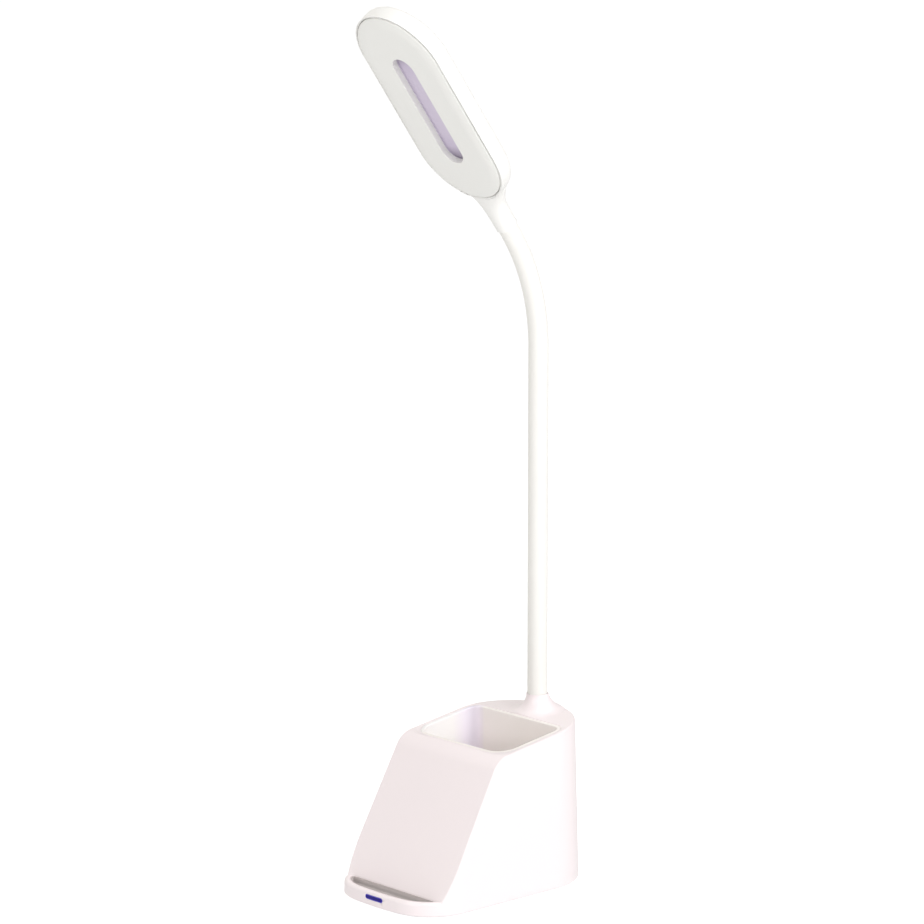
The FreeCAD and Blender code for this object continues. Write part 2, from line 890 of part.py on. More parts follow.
def board_posts():
    x = board_width / 2 - board_post_inset
    ys = (board_front + board_post_inset, board_rear - board_post_inset)
    return [rod(board_post_radius, s * x, y, rim_bottom, board_low()) for s in (-1, 1) for y in ys]


def board_chip(x, inset, width, length, height):
    """Flat chip on the control board, placed by its middle."""
    y = board_front + inset
    top = board_top()
    return block(x - width / 2, x + width / 2, y - length / 2, y + length / 2, top, top + height)


def board_parts():
    """Charging chip, dimming chip, coil, capacitor and the socket of the lamp cable."""
    top = board_top()
    across = board_width / 2
    chip = board_chip(-across * charge_chip_share, charge_chip_inset, charge_chip_size,
                      charge_chip_size, charge_chip_height)
    dimmer = board_chip(-across * dimmer_chip_share, dimmer_chip_inset, dimmer_chip_width,
                        dimmer_chip_length, dimmer_chip_height)
    coil = rod(coil_radius, across * coil_share, board_front + coil_inset, top, top + coil_height)
    capacitor = rod(capacitor_radius, -across * capacitor_share, board_front + capacitor_inset, top,
                    top + capacitor_height)
    half = cable_radius + plug_wall
    rear = board_rear - cable_board_inset
    plug = block(cable_side - half, cable_side + half, rear - plug_length, rear, top, top + 2 * half)
    return Part.makeCompound([chip, dimmer, coil, capacitor, plug])


def indicator_lens():
    side = lens_block_width
    inside = block(-side, side, front_face + wall, board_front, rim_bottom, lip_height)
    allowed = plan_body(rim_bottom, lip_height).fuse(inside)
    return lens_shape().common(allowed).removeSplitter()


def indicator_led():
    half = led_width / 2
    high = board_low()
    return block(-half, half, board_front, board_front + led_depth, high - led_height, high)


def touch_plate():
    half = touch_plate_width / 2
    rear = rest_foot_y
    high = groove_underside - touch_plate_gap
    return block(-half, half, rear - touch_plate_length, rear, high - touch_plate_thickness, high)


def grip_liner():
    """Soft liner of the phone groove: a shallow tray with thin walls."""
    top = lip_height - liner_drop
    outer = groove_shape(groove_floor_height, top)
    inner = groove_shape(groove_floor_height + liner_thickness, top + overrun, liner_thickness)
    return outer.cut(inner)


def neck_frame(s):
    """Point and direction of the neck's middle line at the length s above the collar."""
    if s <= neck_straight:
        return Vector(0, neck_y, collar_top + s), UP
    if s <= neck_straight + neck_arc:
        turn = (s - neck_straight) / neck_bend_radius
        y = neck_y - neck_bend_radius * (1 - math.cos(turn))
        z = collar_top + neck_straight + neck_bend_radius * math.sin(turn)
        return Vector(0, y, z), Vector(0, -math.sin(turn), math.cos(turn))
    start, direction = neck_frame(neck_straight + neck_arc)
    return start + direction * (s - neck_straight - neck_arc), direction


def neck_bar(radius, s0, s1):
    """Solid round bar along the neck's middle line between two lengths."""
    bar = None
    arc_end = neck_straight + neck_arc
    for low, high in ((s0, min(s1, neck_straight)), (max(s0, neck_straight), min(s1, arc_end)),
                      (max(s0, arc_end), s1)):
        if high <= low:
            continue
        point, direction = neck_frame(low)
        if low >= neck_straight and high <= arc_end:
            circle = Part.Circle(point, direction, radius).toShape()
            disc = Part.Face(Part.Wire(circle))
            centre = Vector(0, neck_y - neck_bend_radius, collar_top + neck_straight)
            piece = disc.revolve(centre, ACROSS, math.degrees((high - low) / neck_bend_radius))
        else:
            piece = Part.makeCylinder(radius, high - low, point, direction)
        bar = piece if bar is None else bar.fuse(piece)
    return bar.removeSplitter()


def pivot_lengths():
    """Lengths along the neck at which its links pivot, evenly spaced."""
    last = neck_length - last_pivot_back
    step = (last - first_pivot) / (pivot_count - 1)
    return [first_pivot + step * i for i in range(pivot_count)]


def neck_link(outer_radius, inner_radius, low, high, pivots):
    """Tube from low to high. It ends in a hollow at a pivot below it and a dome at one above it."""
    below, above = pivots
    reach = pivot_sphere_radius + pivot_gap
    top = high if above is None else high + reach
    tube = neck_bar(outer_radius, low, top)
    if above is not None:
        dome = Part.makeSphere(pivot_sphere_radius, neck_frame(above)[0])
        shaft = neck_bar(outer_radius, low, above)
        cap = neck_bar(outer_radius, above, top).common(dome)
        tube = shaft.fuse(cap)
    if below is not None:
        tube = tube.cut(Part.makeSphere(pivot_sphere_radius + pivot_gap, neck_frame(below)[0]))
    bore = neck_bar(inner_radius, low - overrun, top + overrun)
    return tube.cut(bore).removeSplitter()


def neck_links(outer_radius, inner_radius, start, end):
    """All links of one tube of the neck, from the one in the base to the one in the head."""
    pivots = pivot_lengths()
    bounds = [None] + pivots + [None]
    links = []
    for below, above in zip(bounds[:-1], bounds[1:]):
        low = start if below is None else below
        high = end if above is None else above
        links.append(neck_link(outer_radius, inner_radius, low, high, (below, above)))
    return links


def neck_ferrule():
    socket_floor = collar_top - collar_socket_depth
    head_low = socket_floor - ferrule_head_height
    head = rod(ferrule_head_radius, 0, neck_y, head_low, socket_floor)
    shank = rod(ferrule_radius, 0, neck_y, socket_floor - ferrule_length, socket_floor)
    bore = rod(core_radius + sleeve_gap, 0, neck_y, core_bottom - overrun, collar_top)
    return head.fuse(shank).cut(bore).removeSplitter()


def neck_washer():
    ring = rod(washer_radius, 0, neck_y, boss_bottom - washer_thickness, boss_bottom)
    return ring.cut(rod(ferrule_radius + ferrule_gap, 0, neck_y, core_bottom, base_height))


def neck_nut():
    top = boss_bottom - washer_thickness
    sides = 6
    corner = nut_width / 2 / math.cos(math.radians(180 / sides))
    points = []
    for i in range(sides + 1):
        turn = math.radians(360 / sides * i)
        points.append(Vector(corner * math.cos(turn), neck_y + corner * math.sin(turn), top - nut_height))
    nut = prism(Part.makePolygon(points), UP * nut_height)
    return nut.cut(rod(ferrule_radius + sleeve_gap, 0, neck_y, core_bottom, base_height))


def place_on_neck(shape):
    """Moves a solid from the head's own frame to the end of the neck."""
    shape.rotate(Vector(0, 0, 0), ACROSS, head_tilt)
    shape.translate(neck_frame(neck_length)[0])
    return shape


def panel_level():
    """Height of the light panel's middle along the head's own axis."""
    return stem_length + rim_width + panel_seam + panel_radius + panel_half_straight


def stadium(half_straight, radius, y0, y1, shift=0.0):
    """Oval plate round the light panel's middle, from y0 back to y1."""
    level = panel_level() - shift
    low = level - half_straight
    high = level + half_straight
    right_low = Vector(radius, y0, low)
    right_high = Vector(radius, y0, high)
    top = arc(right_high, Vector(0, y0, high + radius), mirrored(right_high))
    bottom = arc(mirrored(right_low), Vector(0, y0, low - radius), right_low)
    left = segment(mirrored(right_high), mirrored(right_low))
    return prism(Part.Wire([segment(right_low, right_high), top, left, bottom]), BACKWARDS * (y1 - y0))


def edges_at(shape, y):
    """Edges of a head piece that lie in the plane at y."""
    near = panel_seam / 2
    return [edge for edge in shape.Edges
            if abs(edge.BoundBox.YMin - y) < near and abs(edge.BoundBox.YMax - y) < near]


def stem():
    """Tapered stem that widens from the neck's end into the lower end of the head."""
    wires = []
    for level, width, depth in zip(stem_level_shares, stem_width_shares, stem_depth_shares):
        centre = Vector(0, 0, level * stem_length)
        major = stem_radius * width
        minor = stem_radius * depth
        if major > minor:
            side = centre + ACROSS * major
            front = centre + BACKWARDS * minor
            oval = Part.Ellipse(side, front, centre).toShape()
        else:
            oval = Part.Circle(centre, UP, major).toShape()
        wires.append(Part.Wire(oval))
    return Part.makeLoft(wires, True, False)


def head_housing():
    outer_radius = panel_radius + panel_seam + rim_width
    front = -head_front_depth + panel_proud
    shell = stadium(panel_half_straight, outer_radius, front, head_back_depth)
    shell = shell.makeFillet(head_back_round, edges_at(shell, head_back_depth))
    shell = shell.fuse(stem())
    seat = -head_front_depth + panel_thickness
    floor = head_back_depth - head_wall
    shell = shell.cut(stadium(panel_half_straight, panel_radius + panel_seam, front - overrun, seat))
    shell = shell.cut(stadium(panel_half_straight, panel_radius - seat_width, front, floor))
    bore = core_radius + sleeve_gap + head_ferrule_wall + stem_bore_gap
    shell = shell.cut(Part.makeCylinder(bore, head_ferrule_length, Vector(0, 0, 0), UP))
    passage = Part.makeCylinder(head_cable_bore, stem_length + seat_width + overrun,
                                Vector(0, head_cable_shift, 0), UP)
    shell = shell.cut(passage)
    for x, z in head_post_places():
        post = Part.makeCylinder(head_post_radius, floor - ring_back(), Vector(x, ring_back(), z), BACKWARDS)
        hole = Part.makeCylinder(head_screw_radius + head_screw_gap, head_screw_length,
                                 Vector(x, ring_back() - head_screw_gap, z), BACKWARDS)
        shell = shell.fuse(post).cut(hole)
    return shell.removeSplitter()


def ring_front():
    return -head_front_depth + panel_thickness + ring_gap


def ring_back():
    return ring_front() + ring_thickness


def head_post_places():
    x = ring_outer_radius - head_post_edge_gap
    return [(s * x, panel_level() + t * head_post_spread / 2) for s in (-1, 1) for t in (-1, 1)]


def diffuser():
    """Light panel: flat in the middle, falling in a curve to its rounded edge."""
    front = -head_front_depth
    plate = stadium(panel_half_straight, panel_radius, front, front + panel_thickness)
    wide = panel_radius - panel_crown_reach + panel_crown_radius
    crown = stadium(panel_half_straight, wide, front, front + 2 * panel_crown_radius)
    crown = crown.makeFillet(panel_crown_radius, edges_at(crown, front))
    plate = plate.common(crown)
    fall = panel_crown_radius - math.sqrt(panel_crown_radius ** 2 - panel_crown_reach ** 2)
    plate = plate.makeFillet(panel_edge_round, edges_at(plate, front + fall))
    plate = plate.cut(stadium(slot_half_straight, slot_radius, front - overrun, overrun, slot_shift))
    inner = [edge for edge in edges_at(plate, front)
             if max(edge.BoundBox.XMax, -edge.BoundBox.XMin) < slot_radius + panel_seam]
    return plate.makeFillet(slot_edge_round, inner)


def recess_tray():
    back_of_panel = -head_front_depth + panel_thickness
    floor = -head_front_depth + slot_depth
    outer_radius = slot_radius + tray_margin
    tray = stadium(slot_half_straight, outer_radius, back_of_panel, floor + tray_floor, slot_shift)
    return tray.cut(stadium(slot_half_straight, slot_radius, back_of_panel - overrun, floor, slot_shift))


def led_board():
    ring = stadium(panel_half_straight, ring_outer_radius, ring_front(), ring_back())
    ring = ring.cut(stadium(slot_half_straight, ring_inner_radius, ring_front() - overrun,
                            ring_back() + overrun, slot_shift))
    for x, z in head_post_places():
        hole = Part.makeCylinder(head_screw_radius + head_screw_gap, 2 * overrun,
                                 Vector(x, ring_front() - overrun, z), BACKWARDS)
        ring = ring.cut(hole)
    return ring


def led_chips():
    """Light sources, evenly spaced along an oval track on the board."""
    straight = 2 * panel_half_straight
    half_round = math.pi * chip_track_radius
    track = 2 * (straight + half_round)
    chips = []
    for i in range(chip_count):
        s = (track * (i + 0.5) / chip_count) % track
        flip = s >= track / 2
        s = s - track / 2 if flip else s
        if s < straight:
            x = chip_track_radius
            z = s - panel_half_straight
            turn = 0.0
        else:
            turn = (s - straight) / chip_track_radius
            x = chip_track_radius * math.cos(turn)
            z = panel_half_straight + chip_track_radius * math.sin(turn)
        chip = Part.makeBox(chip_width, chip_height, chip_length,
                            Vector(-chip_width / 2, ring_front() - chip_height, -chip_length / 2))
        chip.rotate(Vector(0, 0, 0), BACKWARDS, -math.degrees(turn))
        chip.translate(Vector(x, 0, z))
        if flip:
            chip.rotate(Vector(0, 0, 0), BACKWARDS, 180)
        chip.translate(UP * panel_level())
        chips.append(chip)
    return Part.makeCompound(chips)


def head_screws():
    screws = []
    for x, z in head_post_places():
        head = Part.makeCylinder(head_screw_head_radius, head_screw_head_height,
                                 Vector(x, ring_front() - head_screw_head_height, z), BACKWARDS)
        shank = Part.makeCylinder(head_screw_radius, head_screw_length,
                                  Vector(x, ring_front(), z), BACKWARDS)
        screws.append(head.fuse(shank).removeSplitter())
    return Part.makeCompound(screws)


def head_ferrule():
    outer = core_radius + sleeve_gap + head_ferrule_wall
    tube = Part.makeCylinder(outer, head_ferrule_length - stem_bore_gap, Vector(0, 0, 0), UP)
    return tube.cut(Part.makeCylinder(core_radius + sleeve_gap, head_ferrule_length + overrun,
                                      Vector(0, 0, 0), UP))


def lamp_cable():
    """Two-core cable from the control board, up the neck's bore and into the head."""
    lowest = board_top() + cable_radius + cable_board_clearance
    route = [
        Vector(cable_side, board_rear - cable_board_inset, lowest),
        Vector(cable_side, board_rear - cable_level_end, lowest),
        Vector(cable_side, board_rear + cable_rise_end, cable_run_height),
        Vector(cable_side, cable_turn_y, cable_run_height),
        Vector(0, neck_y, cable_turn_height),
        Vector(0, neck_y, collar_top + neck_straight),
    ]
    edges = rounded_path(route, (cable_bend,) * len(route))
    neck_low = neck_frame(neck_straight)[0]
    neck_middle = neck_frame(neck_straight + neck_arc / 2)[0]
    neck_high = neck_frame(neck_straight + neck_arc)[0]
    edges.append(arc(neck_low, neck_middle, neck_high))
    rise = (head_back_depth - head_wall + ring_back()) / 2
    end_level = stem_length + head_cable_bore + cable_end_run
    turn_level = stem_length * cable_turn_share
    level_again = stem_length * cable_straight_share
    tail = place_on_neck(Part.makeCompound([
        Part.Vertex(0, 0, turn_level), Part.Vertex(0, rise, level_again), Part.Vertex(0, rise, end_level)]))
    points = [neck_high] + [vertex.Point for vertex in tail.Vertexes]
    edges += rounded_path(points, (cable_bend,) * len(points))
    path = Part.Wire(edges)
    circle = Part.Wire(Part.Circle(route[0], BACKWARDS, cable_radius).toShape())
    pipe = Part.BRepOffsetAPI.MakePipeShell(path)
    pipe.add(circle)
    pipe.build()
    pipe.makeSolid()
    cable = pipe.shape()
    expected = path.Length * math.pi * cable_radius ** 2
    print("cable: length", round(path.Length, 1), "volume over section times length",
          round(cable.Volume / expected, 4))
    return cable


def nodes():
    """Every piece under its name."""
    sleeve_start = -collar_socket_depth
    core_start = core_bottom - collar_top
    pieces = {
        "base_housing": base_housing(),
        "pen_cup": pen_cup(),
        "bottom_cover": bottom_cover(),
        "cover_screws": cover_screws(),
        "rubber_feet": rubber_feet(),
        "battery_cell": battery_cell(),
        "battery_contacts": battery_contacts(),
        "ballast_plate": ballast_plate(),
        "control_board": control_board(),
        "board_parts": board_parts(),
        "indicator_lens": indicator_lens(),
        "indicator_led": indicator_led(),
        "touch_plate": touch_plate(),
        "grip_liner": grip_liner(),
        "charging_board": charging_board(),
        "charging_socket": charging_socket(),
        "neck_ferrule": neck_ferrule(),
        "neck_washer": neck_washer(),
        "neck_nut": neck_nut(),
        "lamp_cable": lamp_cable(),
        "head_housing": place_on_neck(head_housing()),
        "diffuser": place_on_neck(diffuser()),
        "recess_tray": place_on_neck(recess_tray()),
        "led_board": place_on_neck(led_board()),
        "led_chips": place_on_neck(led_chips()),
        "head_screws": place_on_neck(head_screws()),
        "head_ferrule": place_on_neck(head_ferrule()),
    }
    sleeves = neck_links(neck_radius, core_radius + sleeve_gap, sleeve_start, neck_length)
    cores = neck_links(core_radius, core_bore, core_start, neck_length + head_core_length)
    for i, (sleeve, core) in enumerate(zip(sleeves, cores)):
        pieces["neck_sleeve_" + str(i)] = sleeve
        pieces["neck_core_" + str(i)] = core
    return pieces


def main():
    os.makedirs("parts", exist_ok=True)
    for name, shape in nodes().items():
        shape.exportStep(os.path.join("parts", name + ".step"))
        solids = len(shape.Solids)
        print(name, "solids", solids, "volume", round(shape.Volume, 1), "valid", shape.isValid())


main()
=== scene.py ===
import json
import math

import bmesh
import bpy
from mathutils import Matrix, Vector

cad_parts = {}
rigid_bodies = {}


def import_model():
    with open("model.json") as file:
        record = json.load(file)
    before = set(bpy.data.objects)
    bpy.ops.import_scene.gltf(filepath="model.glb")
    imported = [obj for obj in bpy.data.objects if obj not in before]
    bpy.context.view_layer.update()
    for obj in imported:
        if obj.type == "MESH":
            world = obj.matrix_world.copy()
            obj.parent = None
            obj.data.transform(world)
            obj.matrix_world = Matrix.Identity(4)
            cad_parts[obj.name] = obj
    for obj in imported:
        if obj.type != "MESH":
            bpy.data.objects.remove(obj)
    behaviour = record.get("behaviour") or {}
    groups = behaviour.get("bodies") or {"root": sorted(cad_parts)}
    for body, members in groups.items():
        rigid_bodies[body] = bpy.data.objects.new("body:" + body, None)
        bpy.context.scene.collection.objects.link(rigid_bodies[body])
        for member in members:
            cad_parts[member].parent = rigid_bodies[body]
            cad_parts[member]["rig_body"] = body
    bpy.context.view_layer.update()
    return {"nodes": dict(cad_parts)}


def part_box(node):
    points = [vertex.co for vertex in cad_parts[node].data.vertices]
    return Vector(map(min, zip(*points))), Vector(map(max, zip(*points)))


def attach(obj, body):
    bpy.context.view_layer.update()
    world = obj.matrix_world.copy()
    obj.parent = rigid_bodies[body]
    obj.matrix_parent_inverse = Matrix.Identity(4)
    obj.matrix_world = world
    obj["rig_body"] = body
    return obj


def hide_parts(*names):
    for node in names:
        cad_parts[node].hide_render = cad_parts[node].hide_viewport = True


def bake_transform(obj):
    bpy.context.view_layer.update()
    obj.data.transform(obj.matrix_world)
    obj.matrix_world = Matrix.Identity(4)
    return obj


# Desk lamp with a pen pocket, a sloped phone rest, a flexible neck and an oval light panel.
# Lengths are in metres. +Z is up and the phone rest faces -Y.

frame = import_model()
MM = 0.001

# The neck's middle line: straight up from the collar, then an arc forwards to the head
NECK_Y = 45.0 * MM
COLLAR_TOP = 84.983 * MM
NECK_STRAIGHT = 165.9 * MM
NECK_ARC_RADIUS = 95.0 * MM
NECK_TAIL = 3.0 * MM
HEAD_TILT = math.radians(36.3)
HEAD_UP = Vector((0.0, -math.sin(HEAD_TILT), math.cos(HEAD_TILT)))
PANEL_FRONT = Vector((0.0, -math.cos(HEAD_TILT), -math.sin(HEAD_TILT)))
NECK_ARC = NECK_ARC_RADIUS * HEAD_TILT
NECK_LENGTH = NECK_STRAIGHT + NECK_ARC + NECK_TAIL

# The neck's hinges: how many, and their lengths along it
PIVOTS = 8
FIRST_PIVOT = 12.0 * MM
LAST_PIVOT = NECK_LENGTH - 14.0 * MM

# The sleeve and the cable
SLEEVE_RADIUS = 4.75 * MM
SLEEVE_WALL = 0.8 * MM
SLEEVE_FOOT = -6.2 * MM
SLEEVE_SIDES = 48
CABLE_RADIUS = 1.1 * MM
CABLE_WALL = 0.45 * MM
CABLE_SIDES = 16
CABLE_FIRST = 0.5 * MM
CABLE_LAST = 228.6 * MM
RING_STEP = 0.9 * MM

# Where the painted light and shade on the slot, the pocket and the lens lie
SLOT_LEVEL = 73.92 * MM
SLOT_HALF = 30.5 * MM
SLOT_PAINTED_SHADE = 15.0 * MM
CUP_CORNER = (-29.3 * MM, 32.4 * MM)
CUP_CORNER_SHADE_REACH = 15.0 * MM
CUP_LIT_WALL_REACH = 6.0 * MM
LENS_LEVEL = 4.8 * MM
LENS_STRAIGHT = 4.85 * MM
LENS_RADIUS = 1.15 * MM

# Small parts: crosses in the screws, strips in the socket, worn edges
COVER_CROSS = {"Length": 2.4 * MM, "Width": 0.5 * MM, "Depth": 0.55 * MM}
HEAD_CROSS = {"Length": 1.8 * MM, "Width": 0.4 * MM, "Depth": 0.385 * MM}
CONTACTS = {"Count": 12, "Pitch": 0.5 * MM, "Width": 0.25 * MM, "Length": 4.0 * MM,
            "Thickness": 0.06 * MM, "Rise": 0.36 * MM}
CONTACT_INSET = 4.2 * MM
FOOT_EDGE = 0.22 * MM
CELL_EDGE = 0.3 * MM
WORN_ANGLE = math.radians(45.0)

# Mesh clean-up: points closer and faces flatter than these are joined
MERGE_DISTANCE = 0.001 * MM
FLAT_ANGLE = math.radians(0.002)
SHARP_ANGLE = math.radians(32.0)
END_FACE_DEPTH = 0.02 * MM

# Noise scales are in waves per metre
FINE_GRAIN = 1800.0
GRAIN_DEPTH = 0.01 * MM
GRAIN_STRENGTH = 0.35
MARK_STRENGTH = 0.3
COAT_ROUGHNESS = 0.12
NOISE_LOW, NOISE_HIGH = 0.3, 0.7
WHITE = (1.0, 1.0, 1.0)

# Floor, light from all around, and the softboxes: name, place, size and power in watts
FLOOR_REACH = 14.0
FLOOR_GLOW = 0.54
FLOOR_GLOW_SEEN = 0.42
SKY_COLOUR = (1.0, 0.98, 0.93)
SKY_LEFT = 1.1
SKY_RIGHT = 0.04
LIGHT_TARGET = Vector((0.0, 0.0, 0.15))
SOFTBOXES = (
    ("right_softbox", (1.45, -0.45, 0.85), (1.1, 1.1), 11.2),
    ("rear_right_softbox", (1.5, 0.25, 0.7), (1.1, 1.1), 11.6),
    ("top_softbox", (0.3, 0.3, 1.8), (1.1, 1.1), 12.6),
    ("front_softbox", (0.2, -1.9, 0.7), (1.4, 1.0), 11.5),
)

# The photograph's camera, fitted to the base's corners and the head's outline, in its pixels
CAMERA_TURN = math.radians(47.691)
CAMERA_TILT = math.radians(10.96)
FOCAL_PIXELS = 4232.848
ASIDE_PIXELS = -4.967
ABOVE_PIXELS = 420.839
IMAGE_PIXELS = 924
PIXEL_SIZE = 0.47 * MM
STAND_HEIGHT = 0.6 * MM
SENSOR_WIDTH = 36.0


def neck_point(s):
    """Point on the neck's middle line at the length s above the collar."""
    if s <= NECK_STRAIGHT:
        return Vector((0.0, NECK_Y, COLLAR_TOP + s))
    turn = min(s - NECK_STRAIGHT, NECK_ARC) / NECK_ARC_RADIUS
    point = Vector((0.0, NECK_Y - NECK_ARC_RADIUS * (1 - math.cos(turn)),
                    COLLAR_TOP + NECK_STRAIGHT + NECK_ARC_RADIUS * math.sin(turn)))
    past = max(0.0, s - NECK_STRAIGHT - NECK_ARC)
    return point + past * HEAD_UP


# Steps that the materials and the geometry trees share

def feed(tree, socket, part):
    """Links a socket, or sets it to a number or a colour."""
    if isinstance(part, bpy.types.NodeSocket):
        tree.links.new(part, socket)
    elif isinstance(part, tuple):
        socket.default_value = (*part, 1.0)
    else:
        socket.default_value = part


def figure(tree, operation, first, second=None):
    """One step of arithmetic on links or numbers."""
    made = tree.nodes.new("ShaderNodeMath")
    made.operation = operation
    for socket, part in zip(made.inputs, (first, second)):
        if part is not None:
            feed(tree, socket, part)
    return made.outputs[0]


def vector(tree, **parts):
    """Vector from the parts that are given for X, Y or Z."""
    join = tree.nodes.new("ShaderNodeCombineXYZ")
    for axis, part in parts.items():
        feed(tree, join.inputs[axis], part)
    return join.outputs["Vector"]


# Materials

def shader(name, colour, roughness):
    """New material with a Principled shader, and its node tree."""
    made = bpy.data.materials.new(name)
    made.use_nodes = True
    tree = made.node_tree
    surface = tree.nodes["Principled BSDF"]
    surface.inputs["Base Color"].default_value = (*colour, 1.0)
    surface.inputs["Roughness"].default_value = roughness
    return made, tree, surface


def object_place(tree):
    """Object coordinates of a point on the piece."""
    return tree.nodes.new("ShaderNodeTexCoord").outputs["Object"]


def object_axes(tree):
    """The same coordinates, one by one."""
    split = tree.nodes.new("ShaderNodeSeparateXYZ")
    tree.links.new(object_place(tree), split.inputs["Vector"])
    return split.outputs


def noise(tree, scale, detail=2.0, rough=0.5):
    """Noise over the piece, at a scale in waves per metre."""
    texture = tree.nodes.new("ShaderNodeTexNoise")
    texture.inputs["Scale"].default_value = scale
    texture.inputs["Detail"].default_value = detail
    texture.inputs["Roughness"].default_value = rough
    tree.links.new(object_place(tree), texture.inputs["Vector"])
    return texture


def grain_noise(tree, scale=FINE_GRAIN):
    """Fine grain of a moulded surface."""
    return noise(tree, scale, 2.0, 0.6)


def mixed(tree, first, second, factor, way="MIX"):
    """Mixes two colours, each a link or plain numbers."""
    mix = tree.nodes.new("ShaderNodeMix")
    mix.data_type = "RGBA"
    mix.blend_type = way
    for label, part in (("Factor", factor), ("A", first), ("B", second)):
        feed(tree, mix.inputs[label], part)
    return mix.outputs["Result"]


def ranged(tree, texture, low, high):
    """Spreads a texture's middle values from low to high."""
    spread = tree.nodes.new("ShaderNodeMapRange")
    spread.inputs["From Min"].default_value = NOISE_LOW
    spread.inputs["From Max"].default_value = NOISE_HIGH
    spread.inputs["To Min"].default_value = low
    spread.inputs["To Max"].default_value = high
    tree.links.new(texture.outputs["Fac"], spread.inputs["Value"])
    return spread.outputs["Result"]


def bumped(tree, surface, texture, distance, strength):
    """Raises the surface by a texture."""
    bump = tree.nodes.new("ShaderNodeBump")
    bump.inputs["Distance"].default_value = distance
    bump.inputs["Strength"].default_value = strength
    tree.links.new(texture.outputs["Fac"], bump.inputs["Height"])
    tree.links.new(bump.outputs["Normal"], surface.inputs["Normal"])


def moulded(name, colour, second, rough=(0.3, 0.4), grain=FINE_GRAIN, depth=GRAIN_DEPTH, clear=0.0,
            cloud=28.0):
    """Moulded plastic or rubber: a slight cloud in the shade, a fine grain and an uneven gloss."""
    made, tree, surface = shader(name, colour, rough[0])
    shade = noise(tree, cloud, 3.0)
    colours = mixed(tree, colour, second, shade.outputs["Fac"])
    tree.links.new(colours, surface.inputs["Base Color"])
    tree.links.new(ranged(tree, shade, *rough), surface.inputs["Roughness"])
    bumped(tree, surface, grain_noise(tree, grain), depth, GRAIN_STRENGTH)
    surface.inputs["Coat Weight"].default_value = clear
    surface.inputs["Coat Roughness"].default_value = COAT_ROUGHNESS
    return made


def brushed(name, colour, second, rough=(0.25, 0.45), stretch=(60.0, 60.0, 1800.0)):
    """Plated or drawn metal with fine marks along one direction."""
    made, tree, surface = shader(name, colour, rough[0])
    surface.inputs["Metallic"].default_value = 1.0
    squeeze = tree.nodes.new("ShaderNodeMapping")
    squeeze.inputs["Scale"].default_value = stretch
    marks = tree.nodes.new("ShaderNodeTexNoise")
    marks.inputs["Scale"].default_value = 1.0
    tree.links.new(object_place(tree), squeeze.inputs["Vector"])
    tree.links.new(squeeze.outputs["Vector"], marks.inputs["Vector"])
    tree.links.new(mixed(tree, colour, second, marks.outputs["Fac"]), surface.inputs["Base Color"])
    tree.links.new(ranged(tree, marks, *rough), surface.inputs["Roughness"])
    bumped(tree, surface, marks, GRAIN_DEPTH, MARK_STRENGTH)
    return made


def distance(tree, first, second):
    """Distance from two steps at a right angle, each a link."""
    length = tree.nodes.new("ShaderNodeVectorMath")
    length.operation = "LENGTH"
    tree.links.new(vector(tree, X=first, Y=second), length.inputs[0])
    return length.outputs["Value"]


def ramp(tree, value, stops):
    """Colour ramp over a value, from a list of places and colours."""
    made = tree.nodes.new("ShaderNodeValToRGB")
    band = made.color_ramp
    while len(band.elements) < len(stops):
        band.elements.new(1.0)
    for element, (place, colour) in zip(band.elements, stops):
        element.position = place
        element.color = (*colour, 1.0)
    tree.links.new(value, made.inputs["Fac"])
    return made.outputs["Color"]


def along_slot(tree):
    """Distance from the middle of the head's slot along its length."""
    axes = object_axes(tree)
    low = figure(tree, "MULTIPLY", axes["Y"], HEAD_UP.y)
    high = figure(tree, "MULTIPLY", axes["Z"], HEAD_UP.z)
    middle = neck_point(NECK_LENGTH).dot(HEAD_UP) + SLOT_LEVEL
    return figure(tree, "ABSOLUTE", figure(tree, "SUBTRACT", figure(tree, "ADD", low, high), middle))


def slot_finish(name):
    """Violet tint of the slot, with painted shade that darkens it towards both of its ends."""
    made, tree, surface = shader(name, (0.5, 0.5, 0.5), 0.34)
    # Painted shade: beyond the middle part, the colour darkens towards each end of the recess.
    past = figure(tree, "SUBTRACT", along_slot(tree), SLOT_HALF - SLOT_PAINTED_SHADE)
    colour = ramp(tree, figure(tree, "DIVIDE", past, SLOT_PAINTED_SHADE), [
        (0.0, (0.66, 0.59, 0.72)), (0.55, (0.60, 0.53, 0.67)), (1.0, (0.32, 0.28, 0.36))])
    tree.links.new(colour, surface.inputs["Base Color"])
    fine = grain_noise(tree)
    tree.links.new(ranged(tree, fine, 0.28, 0.4), surface.inputs["Roughness"])
    bumped(tree, surface, fine, GRAIN_DEPTH, MARK_STRENGTH)
    return made


